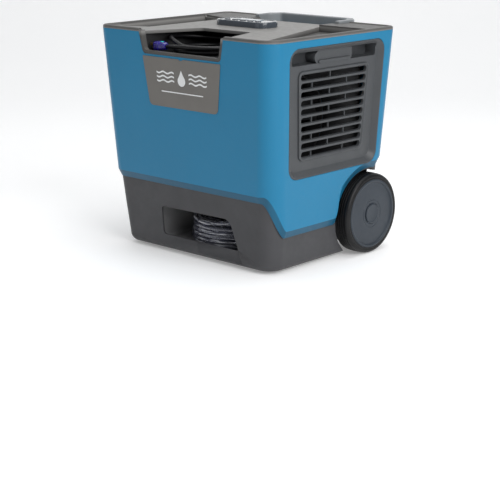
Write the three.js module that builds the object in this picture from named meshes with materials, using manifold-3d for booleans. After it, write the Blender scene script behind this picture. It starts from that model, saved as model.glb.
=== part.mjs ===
// A stackable dehumidifier on two wheels. Millimetres, +Z up, +X to the air outlet side, -Y to the front.
import * as THREE from 'three';
import { mergeVertices } from 'three/addons/utils/BufferGeometryUtils.js';
import Module from 'manifold-3d';

const wasm = await Module();
wasm.setup();

// ---------- Driving dimensions ----------
const GAP = 0.3;                        // between pieces that touch
const LOW_Z = 5;                        // where the low half sizes below are taken
const COVER_TOP_Z = 491;                // upper edge of the blue cover
const RIM_TOP_Z = 498;                  // top of the deck's rim
const COVER_TOP = { x: 254.5, y: 208.8 };
const COVER_LOW = { x: 234.2, y: 177.5 };
const CORNER_R = { top: 26, low: 34 };
const NEAR_CORNER_R = { top: 38, low: 46 };   // the corner between the front and the air outlet
const COVER_WALL = 5;
const CHAMFER_HIGH = 15;                // slanted band along the cover's lower edge
const CHAMFER_IN = 6;
const BASE_LOW = { x: 220.8, y: 166.8 };
const BASE_DRAFT = 0.0875;
const BASE_INSET = 7.2;                 // least distance from the cover's outside
const BASE_WALL = 4;
const BASE_BOTTOM_Z = 6;
const BASE_FLOOR_Z = 10;
const EDGE_Z = { front: 158, side: 81, rear: 203 };   // the cover's lower edge
const WHEEL = {
  y: 134, z: 90, tireR: 90, hubR: 77, inX: 210, outX: 254, archR: 101, wellR: 98, wellX: 200, boreR: 8.4,
};
const PANEL = { y: 8, z: 339.75, halfHigh: 136.75, halfTop: 158, halfLow: 146, r: 28 };
const LOUVRE = {
  low: -102.75, high: 87.25, halfLow: 106, halfTop: 118, slots: 10, bar: 4.6, r: 14, slope: -0.2,
};
const NOTCH = { topHalf: 125, lowHalf: 115, z: 445, lip: 7, back: -195 };
const DECK = {
  bottomZ: 477, channelZ: 480.5, hollowZ: 484.5, plateauZ: 491, cornerZ: 496,
  left: -178, rightFront: 207, rightBack: 105, backY: 121, leftBackY: 101, leftFrontY: -126,
};
const BIN = { x: 124, front: -194, back: 4, floorZ: 412, wall: 4 };
const CORD = { r: 4.5, x: -12, y: -92, innerR: 61.3, outerR: 88.7, bottomZ: 412.3, topZ: 457.6 };
const HOSE = { r: 4.75, x: 28, y: -62, innerR: 60.7, outerR: 99.3, bottomZ: 30.3, topZ: 87.5 };
const BAY = { left: -104, right: 140, front: -163.5, back: 44, floorZ: 30, topZ: 112, wall: 3 };
const HANDLE = {
  x: 120, y: 184, half: 7, lowZ: 475, topZ: 502,
  armFront: 165, barIn: 226, barOut: 244, bevelIn: 15, bevelLong: 28,
};
const TUBE = { r: 6, topZ: 474, lowZ: 108, guideIn: 6.4, guideOut: 9, guideTop: 468, guideLow: 205 };
const COMPRESSOR = { x: -30, y: 99, r: 45 };
const FAN = { y: 8, z: 300, r: 92 };
const COIL_PACK = { y0: -110, y1: 126, z0: 206, z1: 400 };

// ---------- Materials ----------
const finishes = {
  blue: [0x1f78a8, 0.42, 0], base: [0x4b4b4d, 0.6, 0], deck: [0x807e7a, 0.55, 0], bezel: [0x5c5c5c, 0.55, 0],
  plate: [0x64615d, 0.5, 0], pod: [0x303236, 0.3, 0], glass: [0x9fb3c8, 0.12, 0], button: [0x46484c, 0.45, 0],
  grip: [0x56606a, 0.4, 0], hub: [0x495058, 0.4, 0], rubber: [0x151515, 0.85, 0], steel: [0xb0b3b5, 0.35, 1],
  zinc: [0x9ea2a3, 0.5, 1], aluminium: [0xc5c8ca, 0.4, 1], copper: [0xb5704a, 0.35, 1],
  paint: [0x18191b, 0.45, 0],
  filter: [0xb9bdc0, 0.95, 0], liner: [0x2f3032, 0.65, 0], vinyl: [0xd6dde2, 0.15, 0], cord: [0x0c0c0d, 0.5, 0],
  plug: [0x2431c0, 0.35, 0], brass: [0xb79a56, 0.35, 1], white: [0xd9d9d4, 0.5, 0],
};
const material = (name) => {
  const [color, roughness, metalness] = finishes[name];
  return new THREE.MeshStandardMaterial({ name, color, roughness, metalness });
};

// ---------- Solids ----------
const V2 = (x, y) => new THREE.Vector2(x, y);
const V3 = (x, y, z) => new THREE.Vector3(x, y, z);
const lerp = THREE.MathUtils.lerp;

function welded(geometry) {
  const g = geometry.clone();
  g.deleteAttribute('normal');
  g.deleteAttribute('uv');
  return mergeVertices(g, 1e-4);
}

function solid(geometry) {
  const g = welded(geometry);
  const vertProperties = new Float32Array(g.attributes.position.array);
  const triVerts = new Uint32Array(g.index.array);
  return new wasm.Manifold(new wasm.Mesh({ numProp: 3, vertProperties, triVerts }));
}

function geometryOf(manifold) {
  const mesh = manifold.getMesh();
  const g = new THREE.BufferGeometry();
  g.setAttribute('position', new THREE.BufferAttribute(new Float32Array(mesh.vertProperties), 3));
  g.setIndex(new THREE.BufferAttribute(new Uint32Array(mesh.triVerts), 1));
  g.computeVertexNormals();
  return g;
}

// Joins the first solid with the ones to add, then cuts the ones to cut.
function carve(first, { add = [], cut = [] }) {
  let m = solid(first);
  for (const g of add) m = m.add(solid(g));
  for (const g of cut) m = m.subtract(solid(g));
  return geometryOf(m);
}

// A skin over loops of points, each loop anticlockwise from above, the loops from low to high on the outside.
function skin(loops, closed = false) {
  const n = loops[0].length;
  const points = loops.flat();
  const index = [];
  const rows = closed ? loops.length : loops.length - 1;
  for (let i = 0; i < rows; i++) {
    const k = (i + 1) % loops.length;
    for (let j = 0; j < n; j++) {
      const m = (j + 1) % n;
      index.push(i * n + j, i * n + m, k * n + m, i * n + j, k * n + m, k * n + j);
    }
  }
  if (!closed) {
    const middle = (loop) => loop.reduce((s, p) => s.add(p), V3(0, 0, 0)).divideScalar(n);
    const last = (loops.length - 1) * n;
    const low = points.push(middle(loops[0])) - 1;
    const high = points.push(middle(loops[loops.length - 1])) - 1;
    for (let j = 0; j < n; j++) {
      const m = (j + 1) % n;
      index.push(low, m, j, high, last + j, last + m);
    }
  }
  const g = new THREE.BufferGeometry().setFromPoints(points);
  g.setIndex(index);
  g.computeVertexNormals();
  return g;
}

// A polygon with its corners rounded, as a list of points.
function rounded(corners, radius, steps = 4) {
  const n = corners.length;
  return corners.flatMap((at, i) => {
    const back = corners[(i + n - 1) % n].clone().sub(at).normalize();
    const on = corners[(i + 1) % n].clone().sub(at).normalize();
    const half = Math.acos(THREE.MathUtils.clamp(back.dot(on), -1, 1)) / 2;
    const r = Array.isArray(radius) ? radius[i] : radius;
    const centre = at.clone().add(back.clone().add(on).normalize().multiplyScalar(r / Math.sin(half)));
    const from = at.clone().add(back.multiplyScalar(r / Math.tan(half))).sub(centre);
    const to = at.clone().add(on.multiplyScalar(r / Math.tan(half))).sub(centre);
    const turn = Math.atan2(from.cross(to), from.dot(to));
    return Array.from({ length: steps + 1 }, (_, k) =>
      from.clone().rotateAround(V2(0, 0), (turn * k) / steps).add(centre));
  });
}

const rectangle = (x0, y0, x1, y1) => [V2(x0, y0), V2(x1, y0), V2(x1, y1), V2(x0, y1)];
const trapezoid = (low, high, y0, y1) => [V2(-low, y0), V2(low, y0), V2(high, y1), V2(-high, y1)];

// A flat outline, with holes, drawn out from z0 to z1.
function prism(outline, z0, z1, holes = []) {
  const shape = new THREE.Shape(outline);
  for (const hole of holes) shape.holes.push(new THREE.Path(hole));
  const g = new THREE.ExtrudeGeometry(shape, { depth: z1 - z0, bevelEnabled: false });
  return g.translate(0, 0, z0);
}

// Two outlines with the same number of points, joined from one height to the other.
const loft = (...levels) => skin(levels.map(([outline, z]) => outline.map((p) => V3(p.x, p.y, z))));

const box = (x0, x1, y0, y1, z0, z1) =>
  new THREE.BoxGeometry(x1 - x0, y1 - y0, z1 - z0).translate((x0 + x1) / 2, (y0 + y1) / 2, (z0 + z1) / 2);

// A turned solid about Z. The profile is [radius, height] pairs, upward on the outside.
function turned(profile, segments = 24) {
  return new THREE.LatheGeometry(profile.map(([r, z]) => V2(r, z)), segments).rotateX(Math.PI / 2);
}
const rod = (r, z0, z1, segments = 16) => turned([[0, z0], [r, z0], [r, z1], [0, z1]], segments);
const sleeve = (r0, r1, z0, z1, segments = 16) =>
  turned([[r0, z0], [r1, z0], [r1, z1], [r0, z1], [r0, z0]], segments);
const alongX = (g) => g.rotateY(Math.PI / 2);
const alongMinusX = (g) => g.rotateY(-Math.PI / 2);

// A round bar along a smooth line through the points.
function tube(points, r, steps, sides = 8) {
  const path = new THREE.CatmullRomCurve3(points.map((p) => V3(...p)), false, 'centripetal');
  const section = new THREE.Shape(Array.from({ length: sides }, (_, i) => {
    const t = (2 * Math.PI * i) / sides;
    return V2(r * Math.cos(t), r * Math.sin(t));
  }));
  return new THREE.ExtrudeGeometry(section, { extrudePath: path, steps });
}

// ---------- Perimeter of the tapered body ----------
// A station is a place on the edge of a rounded rectangle: a, b on its straight part, and the wall's facing.
function stations(arcSteps, right = [], rear = [], left = [], front = []) {
  const corner = (a, b, from) => Array.from({ length: arcSteps + 1 }, (_, i) => {
    const t = from + ((i / arcSteps) * Math.PI) / 2;
    return { a, b, nx: Math.cos(t), ny: Math.sin(t) };
  });
  return [
    ...right.map((b) => ({ a: 1, b, nx: 1, ny: 0 })), ...corner(1, 1, 0),
    ...rear.map((a) => ({ a, b: 1, nx: 0, ny: 1 })), ...corner(-1, 1, Math.PI / 2),
    ...left.map((b) => ({ a: -1, b, nx: -1, ny: 0 })), ...corner(-1, -1, Math.PI),
    ...front.map((a) => ({ a, b: -1, nx: 0, ny: -1 })), ...corner(1, -1, 1.5 * Math.PI),
  ];
}
const share = (z) => (z - LOW_Z) / (COVER_TOP_Z - LOW_Z);
const coverHalf = (z) => ({
  x: lerp(COVER_LOW.x, COVER_TOP.x, share(z)),
  y: lerp(COVER_LOW.y, COVER_TOP.y, share(z)),
});
const baseHalf = (z) => {
  const cover = coverHalf(z);
  return {
    x: Math.min(BASE_LOW.x + BASE_DRAFT * (z - LOW_Z), cover.x - BASE_INSET),
    y: Math.min(BASE_LOW.y + BASE_DRAFT * (z - LOW_Z), cover.y - BASE_INSET),
  };
};
function cornerR(s, z) {
  const r = s.a > 0 && s.b < 0 ? NEAR_CORNER_R : CORNER_R;
  return lerp(r.low, r.top, share(z));
}
function onBody(s, half, inset, z, narrower = 0) {
  const r = Math.max(cornerR(s, z) - inset - narrower, 4);
  return V3(s.a * (half.x - inset - r) + r * s.nx, s.b * (half.y - inset - r) + r * s.ny, z);
}

// Height of the cover's lower edge at a station.
function edgeZ(s) {
  const at = onBody(s, coverHalf(120), 0, 120);
  const rightSide = s.a > 0 && s.nx > 0;
  const angle = THREE.MathUtils.radToDeg(Math.atan2(s.nx, -s.ny));   // 0 faces front, 90 faces right
  let z = EDGE_Z.front;
  if (rightSide && s.b < 1) {
    z = lerp(EDGE_Z.front, EDGE_Z.side, THREE.MathUtils.smoothstep(angle, 12, 92));
  }
  const behind = at.y - WHEEL.y - 20;
  if (s.ny > 0.01 || behind > 0) return EDGE_Z.rear - 12 * Math.max(0, 1 - behind / 30);
  const dy = at.y - WHEEL.y;
  const arch = Math.abs(s.nx) > 0.99 && Math.abs(dy) < WHEEL.archR
    ? WHEEL.z + Math.sqrt(WHEEL.archR ** 2 - dy ** 2) : 0;
  return Math.max(z, arch);
}

// Places along a side wall, as shares of its straight part, close together over the wheel.
const sideYs = [-118, 0, 26, 33, 36, 44, 56, 74, 98, 124];
const sharesAlong = (a) => sideYs.map((y) => y / (coverHalf(120).y - cornerR({ a, b: y }, 120)));
const perimeter = stations(6, sharesAlong(1), [0.5, 0, -0.5], sharesAlong(-1).reverse(), [-0.5, 0, 0.5]);

function bandHigh(list, i) {
  const at = (k) => onBody(list[(k + list.length) % list.length], coverHalf(120), 0, 120);
  const run = at(i + 1).sub(at(i - 1)).length();
  const rise = edgeZ(list[(i + 1) % list.length]) - edgeZ(list[(i + list.length - 1) % list.length]);
  return Math.min(CHAMFER_HIGH * Math.hypot(1, rise / run), 2.3 * CHAMFER_HIGH);
}

// ---------- Tilted walls ----------
const sideLean = Math.atan((COVER_TOP.x - COVER_LOW.x) / (COVER_TOP_Z - LOW_Z));
const frontLean = Math.atan((COVER_TOP.y - COVER_LOW.y) / (COVER_TOP_Z - LOW_Z));

// A group whose own X runs along a wall, Y up the wall and Z straight out of it.
function wallGroup(side) {
  const g = new THREE.Group();
  const s = Math.sin(side === 'front' ? frontLean : sideLean);
  const c = Math.cos(side === 'front' ? frontLean : sideLean);
  const axes = {
    right: [V3(0, 1, 0), V3(s, 0, c), V3(c, 0, -s)],
    left: [V3(0, -1, 0), V3(-s, 0, c), V3(-c, 0, -s)],
    front: [V3(1, 0, 0), V3(0, -s, c), V3(0, -c, -s)],
  }[side];
  g.quaternion.setFromRotationMatrix(new THREE.Matrix4().makeBasis(...axes));
  const half = coverHalf(PANEL.z);
  if (side === 'front') g.position.set(0, -half.y, PANEL.z);
  else g.position.set(side === 'right' ? half.x : -half.x, PANEL.y, PANEL.z);
  g.updateMatrixWorld();
  return g;
}
const walls = { right: wallGroup('right'), left: wallGroup('left'), front: wallGroup('front') };
const inWall = (side, geometry) => geometry.clone().applyMatrix4(walls[side].matrix);

// ---------- The machine ----------
const machine = new THREE.Group();
machine.add(walls.right, walls.left, walls.front);
function add(name, geometry, finish, parent = machine) {
  const mesh = new THREE.Mesh(welded(geometry), material(finish));
  mesh.name = name;
  mesh.geometry.computeVertexNormals();
  parent.add(mesh);
  return mesh;
}

const panelOutline = (inset) => rounded(
  trapezoid(PANEL.halfLow - inset, PANEL.halfTop - inset, -PANEL.halfHigh + inset, PANEL.halfHigh - inset),
  PANEL.r - inset * 0.6, 4);
const louvreOutline = (inset) => rounded(
  trapezoid(LOUVRE.halfLow - inset, LOUVRE.halfTop - inset, LOUVRE.low + inset, LOUVRE.high - inset),
  Math.max(LOUVRE.r - inset, 4), 2);

// The front notch, as a block through the front wall, narrowed by an inset.
function notchBlock(inset, low = NOTCH.z + inset) {
  const top = 520;
  const deep = 30;
  const rise = (NOTCH.topHalf - NOTCH.lowHalf) / (COVER_TOP_Z - NOTCH.z);
  const half = (z) => NOTCH.lowHalf - inset + rise * (z - NOTCH.z);
  return prism(rounded(trapezoid(half(low), half(top), low, top), [10, 10, 0.1, 0.1], 4), 0, deep)
    .rotateX(Math.PI / 2).translate(0, NOTCH.back, 0);
}

function coverShell() {
  const outer = (pick) => perimeter.map((s, i) => {
    const [inset, z] = pick(edgeZ(s), bandHigh(perimeter, i));
    return onBody(s, coverHalf(z), inset, z);
  });
  const shell = skin([
    outer((z) => [CHAMFER_IN, z]),
    outer((z, band) => [0, z + band]),
    outer(() => [0, COVER_TOP_Z]),
    outer(() => [COVER_WALL, COVER_TOP_Z]),
    outer((z, band) => [COVER_WALL, z + band]),
    outer((z) => [CHAMFER_IN + 0.9, z]),
  ], true);
  const sideOpening = prism(panelOutline(0), -20, 20);
  const handleGap = box(-HANDLE.x - 12, HANDLE.x + 12, 180, 230, HANDLE.lowZ - 1, 500);
  return carve(shell, {
    cut: [inWall('right', sideOpening), inWall('left', sideOpening), notchBlock(0), handleGap],
  });
}

// The base is a tub with a bay for the drain hose in front and two wheel wells behind.
const bayMouth = rounded([V2(-97, 41), V2(131, 41), V2(110, 108), V2(-97, 106)], [8, 4, 22, 8], 4);
function baseTray() {
  const top = (s) => edgeZ(s) + 13;
  const row = (inset, z) => perimeter.map((s) => onBody(s, baseHalf(z), inset, z, BASE_INSET));
  const upper = (inset) => perimeter.map((s) => onBody(s, baseHalf(top(s)), inset, top(s), BASE_INSET));
  const level = (inset, z) => perimeter.map((s) => {
    const at = Math.min(z, top(s) - 2);
    return onBody(s, baseHalf(at), inset, at, BASE_INSET);
  });
  const outside = [row(13, BASE_BOTTOM_Z), row(5, BASE_BOTTOM_Z + 3), row(0, BASE_BOTTOM_Z + 13),
    level(0, 88), level(0, 165), upper(0)];
  const inside = [upper(BASE_WALL), level(BASE_WALL, 165), level(BASE_WALL, 88),
    row(BASE_WALL, BASE_FLOOR_Z + 12), row(BASE_WALL + 5, BASE_FLOOR_Z + 3), row(BASE_WALL + 13, BASE_FLOOR_Z)];
  const tub = skin([...outside, ...inside]);
  const envelope = solid(skin(outside));
  const wheelAxis = (g, side) => (side > 0 ? alongX(g) : alongMinusX(g)).translate(0, WHEEL.y, WHEEL.z);
  let m = solid(tub);
  for (const side of [1, -1]) {
    const housing = wheelAxis(rod(WHEEL.wellR + 5, WHEEL.wellX - 5, WHEEL.outX, 24), side);
    m = m.add(solid(housing).intersect(envelope));
  }
  for (const side of [1, -1]) {
    m = m.subtract(solid(wheelAxis(rod(WHEEL.wellR, WHEEL.wellX, 300, 24), side)));
    m = m.subtract(solid(wheelAxis(rod(WHEEL.boreR, 150, 300), side)));
  }
  const mouth = prism(bayMouth, 0, 40).rotateX(Math.PI / 2).translate(0, -150, 0);
  // The sill under the mouth falls back from the front face towards the right, against the pillar there.
  const frontY = (z) => -BASE_LOW.y - BASE_DRAFT * (z - LOW_Z);
  const sill = { left: 10, rightLow: 143.5, rightHigh: 129, deep: 3, lowZ: -1, highZ: 43 };
  const sillLoop = (z, right) => [V3(sill.left, frontY(z), z), V3(sill.left, frontY(z) - 20, z),
    V3(right, frontY(z) - 20, z), V3(right, frontY(z) + sill.deep, z)];
  const sillCut = skin([sillLoop(sill.lowZ, sill.rightLow), sillLoop(sill.highZ, sill.rightHigh)]);
  m = m.subtract(solid(mouth)).subtract(solid(sillCut));
  return geometryOf(m);
}

function hoseBayLiner() {
  const { left, right, front, back, floorZ, topZ, wall } = BAY;
  return carve(box(left - wall, right + wall, front, back + wall, floorZ - wall, topZ + wall), {
    cut: [box(left, right, front - 5, back, floorZ, topZ), rod(6.5, topZ - 1, topZ + 9).translate(-80, -20, 0)],
  });
}

// The deck: a rim on the cover, a raised middle over the cord bin, a sunk channel down each side, two blocks
// at the rear corners round the handle's arms, and a front notch with its lip.
function topDeck() {
  const { bottomZ, channelZ, hollowZ, plateauZ, cornerZ } = DECK;
  const { left, rightFront, rightBack, backY, leftBackY, leftFrontY } = DECK;
  const ring = stations(5);
  const row = (inset, z) => ring.map((s) => onBody(s, coverHalf(Math.min(z, COVER_TOP_Z)), inset, z));
  const block = skin([row(COVER_WALL + 0.5, bottomZ), row(COVER_WALL + 0.5, COVER_TOP_Z + GAP),
    row(0, COVER_TOP_Z + GAP), row(0, RIM_TOP_Z - 3.5), row(1.2, RIM_TOP_Z - 1), row(4, RIM_TOP_Z)]);
  const tray = (z) => solid(skin([row(14, z), row(9, RIM_TOP_Z + 0.5)]));
  const beyond = 260;                   // outside the rim
  const cornerX = 240;                  // inside the rim
  const cornerBack = 196;
  const armX = HANDLE.x - 13;
  const channel = (outline) => solid(prism(outline, bottomZ - 7, RIM_TOP_Z + 12));
  const leftChannel = channel([V2(-beyond, -152), V2(-226, -152), V2(left, leftFrontY), V2(left, leftBackY),
    V2(-beyond, backY)]);
  const rightChannel = channel([V2(rightFront, -184), V2(beyond, -184), V2(beyond, backY),
    V2(rightBack, backY)]);
  const corner = (outline) => solid(prism(outline, bottomZ + 1, cornerZ));
  const leftCorner = corner([V2(-cornerX, backY), V2(left, leftBackY), V2(-armX, backY + 8),
    V2(-armX, cornerBack), V2(-cornerX, cornerBack)]);
  const rightCorner = corner([V2(rightBack, backY), V2(cornerX, backY), V2(cornerX, cornerBack),
    V2(armX, cornerBack)]);
  const hollow = prism([V2(left + 6, -199.5), V2(rightFront - 6, -199.5), V2(rightBack - 4, backY - 3),
    V2(left + 6, leftBackY - 3)], bottomZ - 7, hollowZ);
  const recess = prism(rounded([V2(-128, -202), V2(112, -202), V2(68, -60), V2(-75, -64)], [1, 1, 12, 12], 3),
    bottomZ - 7, RIM_TOP_Z + 12);
  const lip = solid(notchBlock(0.4, NOTCH.z + GAP))
    .intersect(solid(skin([row(0.6, NOTCH.z - 5), row(0.6, RIM_TOP_Z - 4)])))
    .subtract(solid(box(-200, 200, NOTCH.back, 300, 400, 600)));
  const wellHalf = HANDLE.x + HANDLE.half + 1;
  const well = box(-wellHalf - 3, wellHalf + 3, 159, 201.5, bottomZ - 7, plateauZ - 1);
  const wellSpace = box(-wellHalf, wellHalf, 162, beyond, HANDLE.lowZ - GAP, 520);
  let m = solid(block).subtract(tray(plateauZ)).add(leftCorner).add(rightCorner).add(solid(well));
  m = m.subtract(tray(channelZ).intersect(leftChannel.add(rightChannel))).subtract(solid(hollow));
  m = m.subtract(solid(recess)).subtract(solid(notchBlock(0.4, NOTCH.z))).add(lip);
  m = m.subtract(solid(notchBlock(NOTCH.lip))).subtract(solid(wellSpace));
  for (const side of [1, -1]) {
    const tubeHole = tiltedWithHandle(rod(TUBE.r + 4, 440, 500));
    m = m.subtract(solid(tubeHole.translate(side * HANDLE.x, 0, 0)));
  }
  return geometryOf(m);
}

// The handle's tubes lean forward with the rear wall, about the point where they enter the grip.
function tiltedWithHandle(g) {
  return g.translate(0, 0, -TUBE.topZ).rotateX(-frontLean).translate(0, HANDLE.y, TUBE.topZ);
}

function cordBin() {
  const { x, front, back, floorZ, wall } = BIN;
  const top = DECK.hollowZ - GAP;
  const outside = rounded(rectangle(-x - wall, front - wall, x + wall, back + wall), 12, 3);
  const inside = rounded(rectangle(-x, front, x, back), 8, 3);
  const notch = notchBlock(-2, NOTCH.z - 1).translate(0, wall, 0);
  const glandHole = rod(8.4, -12, 12).rotateX(Math.PI / 2).translate(95, back + 2, 440);
  return carve(prism(outside, floorZ - wall, top), { cut: [prism(inside, floorZ, top + 5), notch, glandHole] });
}

function sideBezel() {
  const block = loft([panelOutline(0.5), -14], [panelOutline(0.5), 0.6]);
  const recess = loft([panelOutline(13), -11], [panelOutline(3), 1]);
  const pocket = { x: 138, low: 99, high: 126, deep: -38 };
  const pocketOutline = (out, r) => rounded(
    rectangle(-pocket.x - out, pocket.low - out, pocket.x + out, pocket.high + out), r, 2);
  const shellBox = prism(pocketOutline(3, 8), pocket.deep - 3, -12);
  const room = solid(prism(pocketOutline(0, 6), pocket.deep, 0));
  const handHold = prism(rounded(rectangle(-68, pocket.low - 1, 58, pocket.high + 1), 9, 3),
    pocket.deep - 1, -12);
  return carve(block, {
    add: [shellBox], cut: [recess, prism(louvreOutline(0), -20, 2), geometryOf(room.subtract(solid(handHold)))],
  });
}

function louvreGrille() {
  const high = LOUVRE.high - LOUVRE.low;
  const frame = 7;
  // Each slot falls towards the front by its slope, level with its outline at the grille's middle depth.
  const fall = LOUVRE.slope;
  const slope = new THREE.Matrix4().set(1, 0, 0, 0, 0, 1, fall, fall * 11, 0, 0, 1, 0, 0, 0, 0, 1);
  const pitch = (high - 2 * frame + LOUVRE.bar) / LOUVRE.slots;
  const slots = Array.from({ length: LOUVRE.slots }, (_, i) => {
    const low = LOUVRE.low + frame + i * pitch;
    const top = low + pitch - LOUVRE.bar;
    const half = lerp(LOUVRE.halfLow, LOUVRE.halfTop, (low - LOUVRE.low) / high) - frame - 1;
    return prism(rounded(rectangle(-half, low, half, top), 5, 1), -30, 0).applyMatrix4(slope);
  });
  return carve(prism(louvreOutline(0.4), -16, -7.5), { cut: slots });
}

function tire() {
  const { tireR, hubR, inX, outX } = WHEEL;
  const ribs = [];
  const count = 3;
  const wide = (outX - inX - 8) / count;
  for (let i = 0; i < count; i++) {
    const x = inX + 4 + i * wide;
    ribs.push([tireR - (i === 0 ? 1.5 : 0), x], [tireR - (i === count - 1 ? 1.5 : 0), x + wide - 2.5]);
    if (i < count - 1) ribs.push([tireR - 3, x + wide - 2]);
  }
  return turned([[hubR, inX], [tireR - 6, inX], ...ribs, [tireR - 6, outX], [hubR, outX], [hubR, inX]], 28);
}

function hub() {
  const r = WHEEL.hubR - GAP;
  const { boreR } = WHEEL;
  return turned([[boreR, 206], [20, 206], [20, 226], [60, 234], [60, 212], [r, 212], [r, 254], [r - 5, 255],
    [r - 8, 252], [boreR, 252], [boreR, 206]], 28);
}

// The handle in plan: two arms that point forward, a bar behind them, and slanting corners between.
function grip() {
  const { x, half, lowZ, topZ, armFront, barIn, barOut, bevelIn, bevelLong } = HANDLE;
  const arch = (side, back, front, cut) => [V2(-side, front), V2(side, front), V2(side, back - bevelLong),
    V2(side - cut, back), V2(-side + cut, back), V2(-side, back - bevelLong)];
  const outer = rounded(arch(x + half, barOut, armFront, bevelIn + 5), [5, 5, 20, 16, 16, 20], 3);
  const inner = rounded(arch(x - half, barIn, armFront - 10, bevelIn), [1, 1, 10, 8, 8, 10], 3);
  const narrowed = outer.map((p) => p.clone().lerp(V2(0, 208), 0.012));
  return carve(loft([outer, lowZ], [outer, topZ - 3], [narrowed, topZ]), {
    cut: [prism(inner, lowZ - 5, topZ + 5)],
  });
}

// A block of fins with the return bends of its pipes at the front end.
function finPack(x0, x1) {
  const { y0, y1, z0, z1 } = COIL_PACK;
  const bends = Array.from({ length: 5 }, (_, i) => {
    const z = lerp(z0, z1, (i + 0.5) / 5);
    return alongX(new THREE.TorusGeometry(9, 3.5, 6, 8)).translate((x0 + x1) / 2, y0 + 1, z);
  });
  return carve(box(x0, x1, y0, y1, z0, z1), { add: bends });
}

function fanBlade() {
  const hubPart = sleeve(4.3, 28, 100, 124, 20);
  const blades = Array.from({ length: 5 }, (_, i) =>
    box(-3, 3, -22, 22, 24, FAN.r).rotateZ(0.9).rotateX((2 * Math.PI * i) / 5).translate(112, 0, 0));
  let m = solid(alongX(hubPart));
  for (const b of blades) m = m.add(solid(b).subtract(solid(alongX(rod(26, 90, 134)))));
  return geometryOf(m).translate(0, FAN.y, FAN.z);
}

function fanMotor() {
  const profile = [[0, 50], [34, 50], [38, 54], [38, 88], [34, 92], [4, 92], [4, 108], [0, 108]];
  const body = alongX(turned(profile, 20));
  const arms = [0, 1, 2].map((i) => box(82, 88, -6, 6, 30, 106).rotateX((2 * Math.PI * i) / 3));
  return carve(body, { add: arms }).translate(0, FAN.y, FAN.z);
}

function fanShroud() {
  const plate = box(88 + GAP, 92, -118, 134, 205, 403);
  const duct = alongX(rod(FAN.r + 7, 90, 130, 32)).translate(0, FAN.y, FAN.z);
  const bore = alongX(rod(FAN.r + 4, 80, 140, 32)).translate(0, FAN.y, FAN.z);
  return carve(plate, { add: [duct], cut: [bore] });
}

const cordLead = [[95, -18, 440], [95, -40, 436], [92, -62, 430], [86, -84, 424], [82.5, -96, 421]];
const cordEnd = [
  [-27, -170, 462.5], [-46, -165, 466], [-66, -158, 471], [-92, -144, 474], [-109, -126, 475],
  [-113, -100, 474.5], [-106, -66, 471.5], [-84, -36, 468], [-50, -16, 465.5], [-12, -9, 463.5],
  [26, -14, 462.8], [58, -34, 462.7], [76, -66, 462.7], [77, -104, 462.7], [66, -136, 462.7],
  [44, -161, 462.7], [14, -177, 462.7], [-14, -181.5, 462.7], [-38, -180, 462.5], [-57, -177, 461],
  [-74, -173, 459.5],
];
const hoseLead = [[-80, -20, 98], [-80, -21, 88], [-80, -28, 72], [-80, -42, 60], [-79, -60, 54]];
const hoseEnd = [[91, -14, 92.6], [78, 2, 92.8], [60, 13, 93.5], [40, 19, 94.5]];

function plugBody() {
  return carve(box(-15, 15, -12.5, 12.5, -10.5, 9.5), {
    cut: [box(11, 30, -30, -7, -20, 20), box(11, 30, 7, 30, -20, 20)],
    add: [box(-28, -14, -1, 1, -7, -2), box(-28, -14, -1, 1, 2, 7)],
  });
}

// ---------- Assembly ----------
function housings() {
  add('cover_shell', coverShell(), 'blue');
  add('base_tray', baseTray(), 'base');
  add('hose_bay_liner', hoseBayLiner(), 'liner');
  add('top_deck', topDeck(), 'deck');
  add('cord_bin', cordBin(), 'liner');
  const plate = rounded(trapezoid(101, 115, 335 - PANEL.z, 441 - PANEL.z), [12, 12, 2, 2], 3);
  add('label_plate', prism(plate, GAP, 1.5), 'plate', walls.front);
  for (const [side, name] of [['right', 'outlet'], ['left', 'inlet']]) {
    add(`${name}_bezel`, sideBezel(), 'bezel', walls[side]);
    add(`${name}_grille`, louvreGrille(), 'bezel', walls[side]);
  }
  add('air_filter', prism(louvreOutline(3), -27, -16 - GAP), 'filter', walls.left);
  for (const [side, name] of [[-1, 'left'], [1, 'right']]) {
    const foot = turned([[0, 0], [14, 0], [16, 2], [16, 5.7], [0, 5.7]], 20);
    add(`foot_${name}`, foot.translate(side * 165, -125, 0), 'rubber');
  }
}

function controls() {
  const pod = { x: -33, y: 35.5, halfX: 76, halfY: 32.5, topZ: 504 };
  const outline = (inset) => rounded(rectangle(pod.x - pod.halfX + inset, pod.y - pod.halfY + inset,
    pod.x + pod.halfX - inset, pod.y + pod.halfY - inset), 24 - inset, 4);
  const keys = ['power', 'mode', 'up', 'down', 'pump'];
  const keyX = (i) => pod.x - 46 + i * 23;
  const keyY = pod.y - 14;
  const windowOutline = (inset) => rounded(rectangle(pod.x - 34 + inset, pod.y + inset, pod.x + 34 - inset,
    pod.y + 20 - inset), 3, 2);
  const z0 = DECK.plateauZ + GAP;
  const holes = keys.map((_, i) => rod(7.3, pod.topZ - 6, pod.topZ + 2).translate(keyX(i), keyY, 0));
  add('control_pod', carve(loft([outline(0), z0], [outline(0.6), pod.topZ - 3], [outline(3), pod.topZ]), {
    cut: [...holes, prism(windowOutline(0), pod.topZ - 2, pod.topZ + 2)],
  }), 'pod');
  add('display_window', prism(windowOutline(GAP), pod.topZ - 2 + GAP, pod.topZ + 0.2), 'glass');
  keys.forEach((key, i) => {
    const cap = turned([[0, -3.5], [7, -3.5], [7, 0.8], [6, 1.4], [0, 1.6]], 12);
    add(`button_${key}`, cap.translate(keyX(i), keyY, pod.topZ), 'button');
  });
}

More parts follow.
